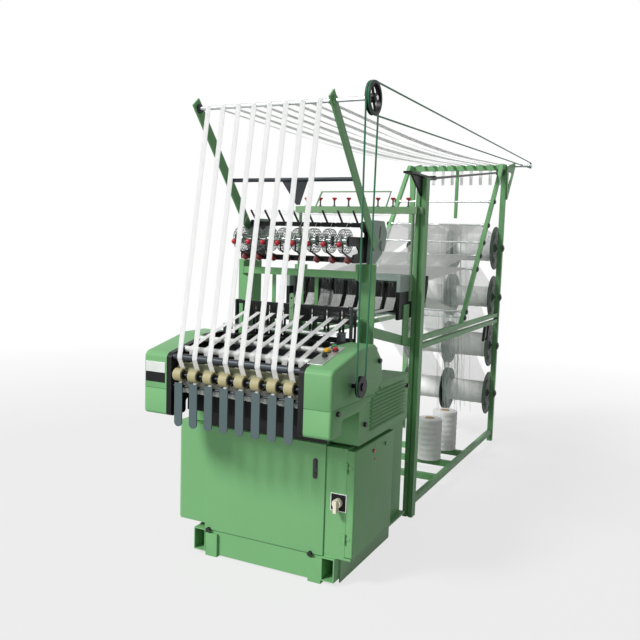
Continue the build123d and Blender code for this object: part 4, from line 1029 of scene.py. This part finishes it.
@dataclass
class Beams:
    """Warp beams: dished flanges with a ring of bosses, hubs and wound yarn."""

    flange: float = 0.180
    thickness: float = 0.008
    inner: float = 0.020
    outer: float = 0.350

    def flange_profile(self) -> Profile:
        """Turned flange: rolled rim, two pressed rings and a raised hub face.

        Returns:
            Points as distance out from the inner face and radius.
        """
        r, t = self.flange, self.thickness
        return [(0.0, r - 0.001), (0.003, r), (t - 0.002, r - 0.0005), (t, r - 0.004),
                (t, r - 0.012), (t - 0.003, r - 0.018), (t - 0.003, 0.125), (t, 0.120),
                (t, 0.075), (t - 0.003, 0.070), (t - 0.003, 0.052), (t, 0.048)]

    def build(self) -> None:
        """Build a metal piece and a wound piece for each beam.

        The yarn's radius is the winding's with two small sine waves along the barrel.
        """
        flange = self.flange_profile()
        for number, (z, yarn) in enumerate(zip(BEAM_HEIGHTS, WINDINGS), 1):
            centre = at(0.0, BEAM_BACK, z)
            metal, wound = Shape(), Shape()
            metal.turn([(-0.390, 0.0096), (0.390, 0.0096)], centre, 20)
            metal.turn([(-0.012, 0.030), (0.012, 0.030)], centre, 28)
            metal.pair([(self.inner - a, r) for a, r in flange], centre, 72)
            metal.pair([(self.outer + a, r) for a, r in flange], centre, 72)
            metal.pair([(0.358, 0.030), (0.364, 0.029), (0.366, 0.026)], centre, 28)
            for angle in np.arange(6) * math.pi / 3 + 0.2:
                spot = centre + 0.098 * outward(angle)
                metal.pair([(0.357, 0.011), (0.3595, 0.0095)], spot, 12)
            metal.make(f"beam_{number}_flanges", "flange_paint", "beam_alloy", f"beam_{number}",
                       replaces=[f"warp_beam_{number}"])
            along = np.linspace(0.0203, 0.3497, 60)
            swell = 0.0010 * np.sin(along * 90) + 0.0006 * np.sin(along * 251 + number)
            wound.pair(list(zip(along, yarn - 0.0016 + swell)), centre, 48)
            wound.make(f"beam_{number}_yarn", WOUND_YARN, "white_fabric", f"beam_{number}")


@dataclass
class FeederCages:
    """Feeder wheels: bent wires round a hub, on one shaft."""

    width: float = 0.047
    wires: int = 22
    wire: float = 0.0017
    ring_wire: float = 0.0013
    hub: float = 0.0175

    def build(self) -> None:
        """Build all the wheels as one piece on their shaft.

        A wire is one bent outline carried out from the hub at equal angles.
        """
        centre = at(0.0, *FEEDER_SHAFT)
        shape = Shape()
        shape.turn([(-0.324, 0.0058), (0.324, 0.0058)], centre, 16)
        half = [(0.55, 0.014), (1.0, 0.026), (0.95, 0.048), (0.72, 0.0585)]
        bend = [(-a, r) for a, r in half] + [(0.0, 0.0605)] + half[::-1]
        bend = np.array(bend) * [self.width / 2, 1.0]
        around = np.linspace(0, 2 * np.pi, 40, endpoint=False)
        for x in HEADS:
            hub = centre + [x, 0, 0]
            shape.turn(rounded_profile(self.width * 0.8, self.hub, 0.003), hub, 24)
            shape.pair([(0.016, 0.024), (0.018, 0.024)], hub, 24)
            for k in range(self.wires):
                out = outward(2 * math.pi * k / self.wires)
                shape.tube(hub + bend[:, :1] * [1.0, 0, 0] + bend[:, 1:] * out, self.wire, 5)
            for along, radius in ((0.0228, 0.034), (0.0169, 0.0583)):
                for side in (-1, 1):
                    ring = np.stack([np.full(40, side * along), radius * np.cos(around),
                                     radius * np.sin(around)], axis=1)
                    shape.tube(hub + ring, self.ring_wire, 5, closed=True)
        shape.make("feeder_cages", "dark_chrome", "bright_steel", "feeder_wheels",
                   replaces=["feeder_wheels"])


@dataclass
class RedKnobs:
    """Ball knobs and cups on the feeder frame, and mushroom knobs on the yarn rail."""

    ball: float = 0.014
    rail_pitch: float = 0.095

    def build(self) -> None:
        """Build the knobs and cups."""
        balls, cups, stems, hooks = Shape(), Shape(), Shape(), Shape()
        angle = np.linspace(0.02, np.pi - 0.02, 18)
        ball = list(zip(-self.ball * np.cos(angle), self.ball * np.sin(angle)))
        for x in HEADS:
            balls.lathe(ball, at(x + 0.010, 0.4295, 1.632), sides=28)
            stems.turn([(0.0, 0.003), (0.012, 0.003)], at(x + 0.0135, 0.4295, 1.632), 12)
            hooks.tube(np.array([at(x + 0.013, 0.5335, 1.580), at(x - 0.009, 0.5320, 1.549),
                                 at(x + 0.013, 0.5340, 1.534), at(x + 0.016, 0.5660, 1.545)]),
                       0.0010, 6)
            cups.turn([(0.0, 0.019), (-0.004, 0.020), (-0.010, 0.0185), (-0.024, 0.011),
                       (-0.026, 0.0095)], at(x, *FEEDER_CUPS), 28, "Y")
        for k in range(8):
            spot = at((k - 3.5) * self.rail_pitch, 1.311, 1.861)
            balls.turn([(0.034, 0.006), (0.040, 0.0075), (0.044, 0.014), (0.049, 0.0150),
                        (0.053, 0.0125), (0.054, 0.006)], spot, 28, "Z")
            stems.turn([(0.0, 0.0095), (0.005, 0.0095), (0.006, 0.0045), (0.035, 0.0045)],
                       spot, 14, "Z")
        balls.make("red_knobs_turned", "red_plastic", "red_plastic", replaces=["red_knobs"])
        cups.make("tension_cups", "dark_red_plastic", "red_plastic")
        stems.make("knob_stems", DARK_STEEL, "dark_steel")
        hooks.make("cup_wires", STEEL, "bright_steel")


@dataclass
class FrontRollers:
    """Press rollers with dark ends and the white lower rollers."""

    width: float = 0.046
    radius: float = 0.030
    rim: float = 0.003

    def build(self) -> None:
        """Build both rows of rollers."""
        press, ends, lower = Shape(), Shape(), Shape()
        half = [(0.031, 0.027), (0.0285, 0.030), (0.009, 0.030), (0.008, 0.0285), (0.0078, 0.021)]
        grooved = [(-a, r) for a, r in half] + half[::-1]
        for x in HEADS:
            press.turn(rounded_profile(self.width, self.radius, self.rim), at(x, *PRESS_LINE), 56)
            for side in (1, -1):
                ends.lathe([(side * 0.0225, CORE), (side * 0.0225, 0.0225),
                            (side * 0.0255, 0.0215), (side * 0.026, 0.019),
                            (side * 0.026, 0.0085)], at(x, *PRESS_LINE), sides=32)
            lower.turn(grooved, at(x, *LOWER_LINE), 44)
        press.make("press_roller_covers", "khaki_rubber", "olive_rubber", "press_rollers",
                   replaces=["press_rollers"])
        ends.make("press_roller_ends", BLACK_PLASTIC, "dark_plastic", "press_rollers")
        lower.make("lower_roller_covers", "white_plastic", "white_plastic", "lower_rollers",
                   replaces=["lower_rollers"])


@dataclass
class TopDrive:
    """Top shaft with its double-grooved pulley on four tapered spokes."""

    pulley_x: float = 0.550
    radius: float = 0.073
    groove: float = 0.007
    spokes: int = 4

    def build(self) -> None:
        """Build the pulley and its rod."""
        centre = at(self.pulley_x, *TOP_SHAFT)
        shape, rod = Shape(), Shape()
        r, floor = self.radius, self.radius - self.groove
        half = [(0.0008, r), (0.0014, floor + 0.001), (0.0086, floor + 0.001), (0.0092, r),
                (0.0115, r)]
        rim = [(-a, b) for a, b in half[::-1]] + half
        rim += [(0.0115, floor - 0.006), (-0.0115, floor - 0.006)]
        shape.lathe(rim, centre, sides=72, closed=True)
        shape.turn(rounded_profile(0.023, 0.020, 0.002), centre, 32)
        for k in range(self.spokes):
            out = outward(math.radians(20 + 90 * k))
            path = centre + np.linspace(0.016, 0.0605, 6)[:, None] * out
            shape.tube(path, np.linspace(0.0068, 0.0050, 6), 12)
        shape.make("top_pulley", BLACK, "dark_steel", "top_shaft", replaces=["top_shaft"])
        rod.turn([(-0.377, 0.009), (-0.376, 0.010), (0.5685, 0.010), (0.5695, 0.009)],
                 at(0.0, *TOP_SHAFT), 28)
        rod.make("top_rod", STEEL, "bright_steel", "top_shaft")


@dataclass
class Packages:
    """Cylindrical yarn packages wound on card tubes, on the creel's floor members."""

    spots: tuple[tuple[float, float], ...] = ((0.210, 2.304), (0.230, 2.622))
    radius: float = 0.094
    height: float = 0.300
    bore: float = 0.0305
    card: float = 0.0355

    def build(self) -> None:
        """Build the wound bodies and their tubes.

        The wound radius has a small sine wave up the package.
        """
        wound, tubes = Shape(), Shape()
        top = self.height
        for number, (x, back) in enumerate(self.spots):
            level = np.linspace(0.004, top - 0.006, 40)
            swell = self.radius - 0.002 + 0.0012 * np.sin(level * 160 + number)
            spot = at(x, back, FLOOR_MEMBER_TOP)
            wound.lathe([(0.002, 0.036), (0.003, 0.080), *zip(level, swell), (top - 0.003, 0.082),
                         (top - 0.002, 0.036)], spot, "Z", 44)
            tubes.lathe([(0.0, self.bore), (0.0, self.card), (top, self.card), (top, self.bore)],
                        spot, "Z", 28)
        wound.make("package_yarn", WOUND_YARN, "white_fabric", replaces=["yarn_packages"])
        tubes.make("package_tubes", "card_tube", "white_fabric")


@dataclass
class Heddles:
    """Dark heddle wires in the frames, the sheet behind them and the yarns for the needles."""

    per_head: int = 17
    first_frame: float = 1.200
    frame_pitch: float = 0.024
    frames: int = 6
    foot: float = 1.2525
    seed: int = 11

    def build(self) -> None:
        """Build the wires of both sets of frames, the cover sheet and the weft yarns."""
        spread = np.random.default_rng(self.seed)
        for first, letter in enumerate("ab"):
            backs = (self.first_frame + self.frame_pitch * np.arange(first, self.frames, 2)
                     - BASE_BACK)
            spots = (HEADS[:, None] + np.linspace(-0.0305, 0.0305, self.per_head)).ravel()
            x, y = (grid.ravel() for grid in np.meshgrid(spots, backs))
            x = x + spread.normal(0, 0.0004, len(x))
            top = spread.uniform(1.398, 1.430, len(x))
            wires, one = Shape(), np.ones(len(x))
            wires.boxes(np.stack([x, y, (top + self.foot) / 2], axis=1),
                        np.stack([one * 0.0007, one * 0.0010, (top - self.foot) / 2], axis=1))
            wires.boxes(np.stack([x, y, top - 0.022], axis=1),
                        np.tile([0.0012, 0.0016, 0.020425], (len(x), 1)))
            wires.make(f"heddle_wires_{letter}", BLACK_PLASTIC, "dark_plastic",
                       f"heddles_{letter}")
        cover = Shape()
        cover.slab(at(-0.3453, 1.3293, 1.388), at(0.3453, 1.3305, 1.4695))
        cover.make("harness_cover", SHEET, "heddle_alloy")
        self.wefts()

    def wefts(self) -> None:
        """Weft yarns from the rail's eyes to the tips above the wheels, and down to each wheel.

        A yarn is straight from eye to tip, less half a sine wave of sag.
        """
        shape = Shape()
        part = np.linspace(0, 1, 12)[:, None]
        for x in HEADS:
            start, tip = np.array([x * 1.1, 0.6585, 1.829]), np.array([x, -0.0335, 1.8005])
            run = start + (tip - start) * part
            run[:, 2] -= 0.022 * np.sin(np.pi * part[:, 0])
            shape.tube(np.concatenate([run, [[x, -0.09, 1.745], [x, -0.118, 1.7105]]]), 0.0007, 4)
        shape.make("weft_yarns", THREAD, "white_fabric")


@dataclass
class CreelFittings:
    """Clamps on the creel's bars, bearing caps, a foot rod, a lever and the spare ends."""

    strands: int = 56
    strand: float = 0.0012
    seed: int = 5

    def build(self) -> None:
        """Build every fitting."""
        self.clamps()
        self.spare_ends()
        self.handle()

    def clamps(self) -> None:
        """Clamps outside the sloping bars at each rod, and caps outside the posts at each beam."""
        dark, rod, post = Shape(), Shape(), Shape()
        for z in CREEL_RODS:
            dark.pair([(0.4100, 0.0185), (0.4130, 0.0200), (0.4190, 0.0185), (0.4200, 0.0100),
                       (0.4240, 0.0090), (0.4245, CORE)], at(0.0, incline_back(z), z), 24)
        for z in BEAM_HEIGHTS:
            dark.pair([(0.4150, 0.0290), (0.4180, 0.0300), (0.4230, 0.0270), (0.4240, 0.0140),
                       (0.4290, 0.0120), (0.4295, CORE)], at(0.0, BEAM_BACK, z), 28)
        rod.turn([(-0.3815, 0.0065), (-0.3810, 0.0070), (0.3810, 0.0070), (0.3815, 0.0065)],
                 at(0.0, incline_back(FOOT_ROD_Z), FOOT_ROD_Z), 16)
        dark.make("creel_clamps", BLACK_PLASTIC, "dark_plastic")
        rod.make("foot_rod", STEEL, "bright_steel")
        post.slab(at(-0.012, 3.424, 1.885), at(0.012, 3.448, 2.287))
        post.make("middle_hanger", GREEN, "green_paint", bevel=0.001)

    def spare_ends(self) -> None:
        """Spare warp ends hung over a rod: fine strands that fall with slow waves.

        Each leans by a power of the fall and waves by a sine of it.
        """
        spread = np.random.default_rng(self.seed)
        reach = ROD_RADIUS + self.strand
        back, z = incline_back(SPARE_ROD_Z) - BASE_BACK, SPARE_ROD_Z
        fall = np.linspace(0, 1, 18)
        over = np.linspace(np.pi * 0.9, 0.0, 6)[:-1]
        shape = Shape()
        for _ in range(self.strands):
            x = 0.110 + spread.normal(0, 0.050)
            length = spread.uniform(1.30, 1.52)
            lean = spread.normal(0.07, 0.03)
            wave = spread.uniform(0.004, 0.014)
            phase = spread.uniform(0, 6.28)
            sideways = lean * fall**1.3 + wave * np.sin(fall * 9 + phase) * fall
            swing = 0.004 * np.sin(fall * 7 + phase) * fall
            hook = np.stack([np.full(len(over), x), back - reach * np.cos(over),
                             z + reach * np.sin(over)], axis=1)
            down = np.stack([x + sideways, back - reach + swing, z - length * fall], axis=1)
            shape.tube(np.concatenate([hook, down]), self.strand, 3)
        shape.make("spare_ends", "spare_yarn", "white_fabric")

    def handle(self) -> None:
        """Black hand lever with its clamp behind the tall near post."""
        lever, clamp = Shape(), Shape()
        lever.tube(np.array([[0.412, 0.790, 1.283], [0.416, 0.792, 1.31], [0.421, 0.793, 1.36],
                             [0.424, 0.794, 1.41], [0.425, 0.795, 1.462]]),
                   np.array([0.0085, 0.0085, 0.0095, 0.0105, 0.0085]), 14)
        clamp.slab((0.398, 0.7695, 1.272), (0.424, 0.803, 1.294))
        lever.make("creel_lever", BLACK_PLASTIC, "dark_plastic")
        clamp.make("lever_clamp", CAST, "grey_green_cast", bevel=0.0015)


@dataclass
class FrontDetails:
    """Small things at the front: rim of the switch plate, and the middle guide with black discs
    painted as the shade inside its holes.
    """

    switch: tuple[float, float, float, float] = (0.373, 0.449, 0.377, 0.457)
    rim: float = 0.003
    front: float = -0.344
    deep: float = -0.340
    guide_x: float = 0.006
    guide_back: float = 0.5240
    guide_radius: float = 0.012

    def build(self) -> None:
        """Build the details."""
        frame, guide, hole_shades = Shape(), Shape(), Shape()
        x0, x1, z0, z1 = self.switch
        edge = self.rim
        for left, right, low, high in ((x0 - edge, x1 + edge, z0 - edge, z0),
                                       (x0 - edge, x1 + edge, z1, z1 + edge),
                                       (x0 - edge, x0, z0, z1), (x1, x1 + edge, z0, z1)):
            frame.slab((left, self.front, low), (right, self.deep, high))
        frame.make("switch_rim", "white_plastic", "white_plastic")
        arc, r = np.linspace(0, np.pi, 12), self.guide_radius
        dome = zip(r * np.cos(arc), 1.366 + r * np.sin(arc))
        outline = np.array([(-r, 1.165), (r, 1.165), *dome])
        rings = np.empty((2, len(outline), 3))
        rings[:, :, 0] = outline[:, 0] + self.guide_x
        rings[:, :, 2] = outline[:, 1]
        rings[:, :, 1] = np.array([[self.guide_back], [self.guide_back + 0.005]]) - BASE_BACK
        guide.sweep(rings)
        # Black discs on the guide's face: painted shade standing for the dark inside of its holes.
        for z, radius in ((1.352, 0.0055), (1.300, 0.003), (1.240, 0.003)):
            hole_shades.lathe([(0.0, 0.0002), (0.0, radius), (-0.0005, radius), (-0.0005, 0.0002)],
                        at(self.guide_x, self.guide_back + 0.0001, z), "Y", 20)
        guide.make("middle_guide", CAST, "grey_green_cast")
        hole_shades.make("middle_guide_hole_shades", BLACK, "black_paint")


@dataclass
class Studio:
    """Floor, light and the camera at the photograph's place; angles are in degrees."""

    floor_size: float = 60.0
    floor_near: tuple[float, float] = (3.0, 0.74)
    floor_far: tuple[float, float] = (8.0, 1.0)
    ambient: float = 0.24
    sun_energy: float = 3.0
    sun_spread: float = 14.0
    sun_left: float = 34.0
    sun_rise: float = 42.0
    fill_energy: float = 34.0
    fill_size: float = 1.4
    fill_place: tuple[float, float, float] = (-1.2, -4.4, 0.9)
    fill_aim: tuple[float, float, float] = (0.0, -0.6, 0.95)
    eye: tuple[float, float, float] = (1.8085, -3.4418, 1.6343)
    eye_turn: tuple[float, float, float] = (26.2, -5.9, 1.8)
    lens: float = 41.625
    sensor: float = 36.0

    def build(self) -> None:
        """Build the stage."""
        self.floor()
        self.world()
        self.lamps()
        self.camera()

    def floor(self) -> None:
        """Pale floor whose seen colour fades to the white behind it."""
        square = np.array([[-1, -1, 0], [1, -1, 0], [1, 1, 0], [-1, 1, 0]])
        floor = mesh_object("studio_floor", self.floor_size * square, [(0, 1, 2, 3)])
        nodes = Nodes("studio_floor_paint")
        nodes.shade({"Base Color": linear(Colour.FLOOR), "Roughness": 0.9,
                     "Specular IOR Level": 0.1})
        far = nodes.add("VectorMath", operation="LENGTH")
        nodes.join(nodes.add("TexCoord"), "Object", far, 0)
        fade = nodes.ramp(far, self.floor_near[1], self.floor_far[1], "Value")
        fade.inputs["From Min"].default_value = self.floor_near[0]
        fade.inputs["From Max"].default_value = self.floor_far[0]
        share = nodes.add("Math", operation="MULTIPLY")
        nodes.join(nodes.shown(), 0, share, 0)
        nodes.join(fade, 0, share, 1)
        mix = nodes.add("MixShader")
        for socket, source in enumerate((share, nodes.shader, nodes.add("Emission"))):
            nodes.join(source, 0, mix, socket)
        nodes.join(mix, 0, nodes.tree.nodes["Material Output"], "Surface")
        floor.data.materials.append(nodes.material)

    def world(self) -> None:
        """World that is seen as white and lights the object a little."""
        world = bpy.data.worlds.new("studio")
        bpy.context.scene.world = world
        world.use_nodes = True
        world.node_tree.nodes.clear()
        graph = Graph(world.node_tree)
        seen, lit = graph.add("Background"), graph.add("Background")
        for background, strength in ((seen, 1.0), (lit, self.ambient)):
            background.inputs["Color"].default_value = (1, 1, 1, 1)
            background.inputs["Strength"].default_value = strength
        mix = graph.add("MixShader")
        for socket, source in enumerate((graph.shown(), lit, seen)):
            graph.join(source, 0, mix, socket)
        graph.join(mix, 0, graph.add("OutputWorld"), "Surface")

    def lamps(self) -> None:
        """A soft sun from the front left and a low front lamp."""
        sun = bpy.data.lights.new("sun", "SUN")
        sun.energy = self.sun_energy
        sun.angle = math.radians(self.sun_spread)
        left, rise = math.radians(self.sun_left), math.radians(self.sun_rise)
        toward = Vector((-math.sin(left), -math.cos(left), math.tan(rise)))
        linked("sun", sun).rotation_euler = toward.to_track_quat("Z", "Y").to_euler()
        lamp = bpy.data.lights.new("front_fill", "AREA")
        lamp.size = self.fill_size
        lamp.energy = self.fill_energy
        fill = linked("front_fill", lamp)
        fill.location = self.fill_place
        aim = Vector(self.fill_aim) - fill.location
        fill.rotation_euler = aim.to_track_quat("-Z", "Y").to_euler()

    def camera(self) -> None:
        """Camera fitted to the photograph."""
        lens = bpy.data.cameras.new("camera")
        lens.lens = self.lens
        lens.sensor_width = self.sensor
        lens.sensor_fit = "HORIZONTAL"
        lens.clip_end = 100
        eye = linked("camera", lens)
        yaw, pitch, roll = (math.radians(angle) for angle in self.eye_turn)
        turn = (Matrix.Rotation(yaw, 4, "Z") @ Matrix.Rotation(math.pi / 2 + pitch, 4, "X")
                @ Matrix.Rotation(roll, 4, "Z"))
        eye.matrix_world = Matrix.Translation(self.eye) @ turn
        bpy.context.scene.camera = eye


def corners(box: tuple[Vector, Vector]) -> list[list[float]]:
    """Plain lists of a box's two corners."""
    return [[float(v) for v in corner] for corner in box]


def main() -> None:
    """Load the frame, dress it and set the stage."""
    logging.basicConfig(level=logging.INFO, format="%(message)s")
    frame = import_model()
    Dressing(frame).build()
    for assembly in (Tapes, Belts, WarpYarns, Beams, FeederCages, RedKnobs, FrontRollers,
                     TopDrive, Packages, Heddles, CreelFittings, FrontDetails, Studio):
        assembly().build()
        log.info("%s built", assembly.__name__)
    bpy.context.scene.view_settings.view_transform = "Standard"
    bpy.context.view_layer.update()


if __name__ == "__main__":
    main()
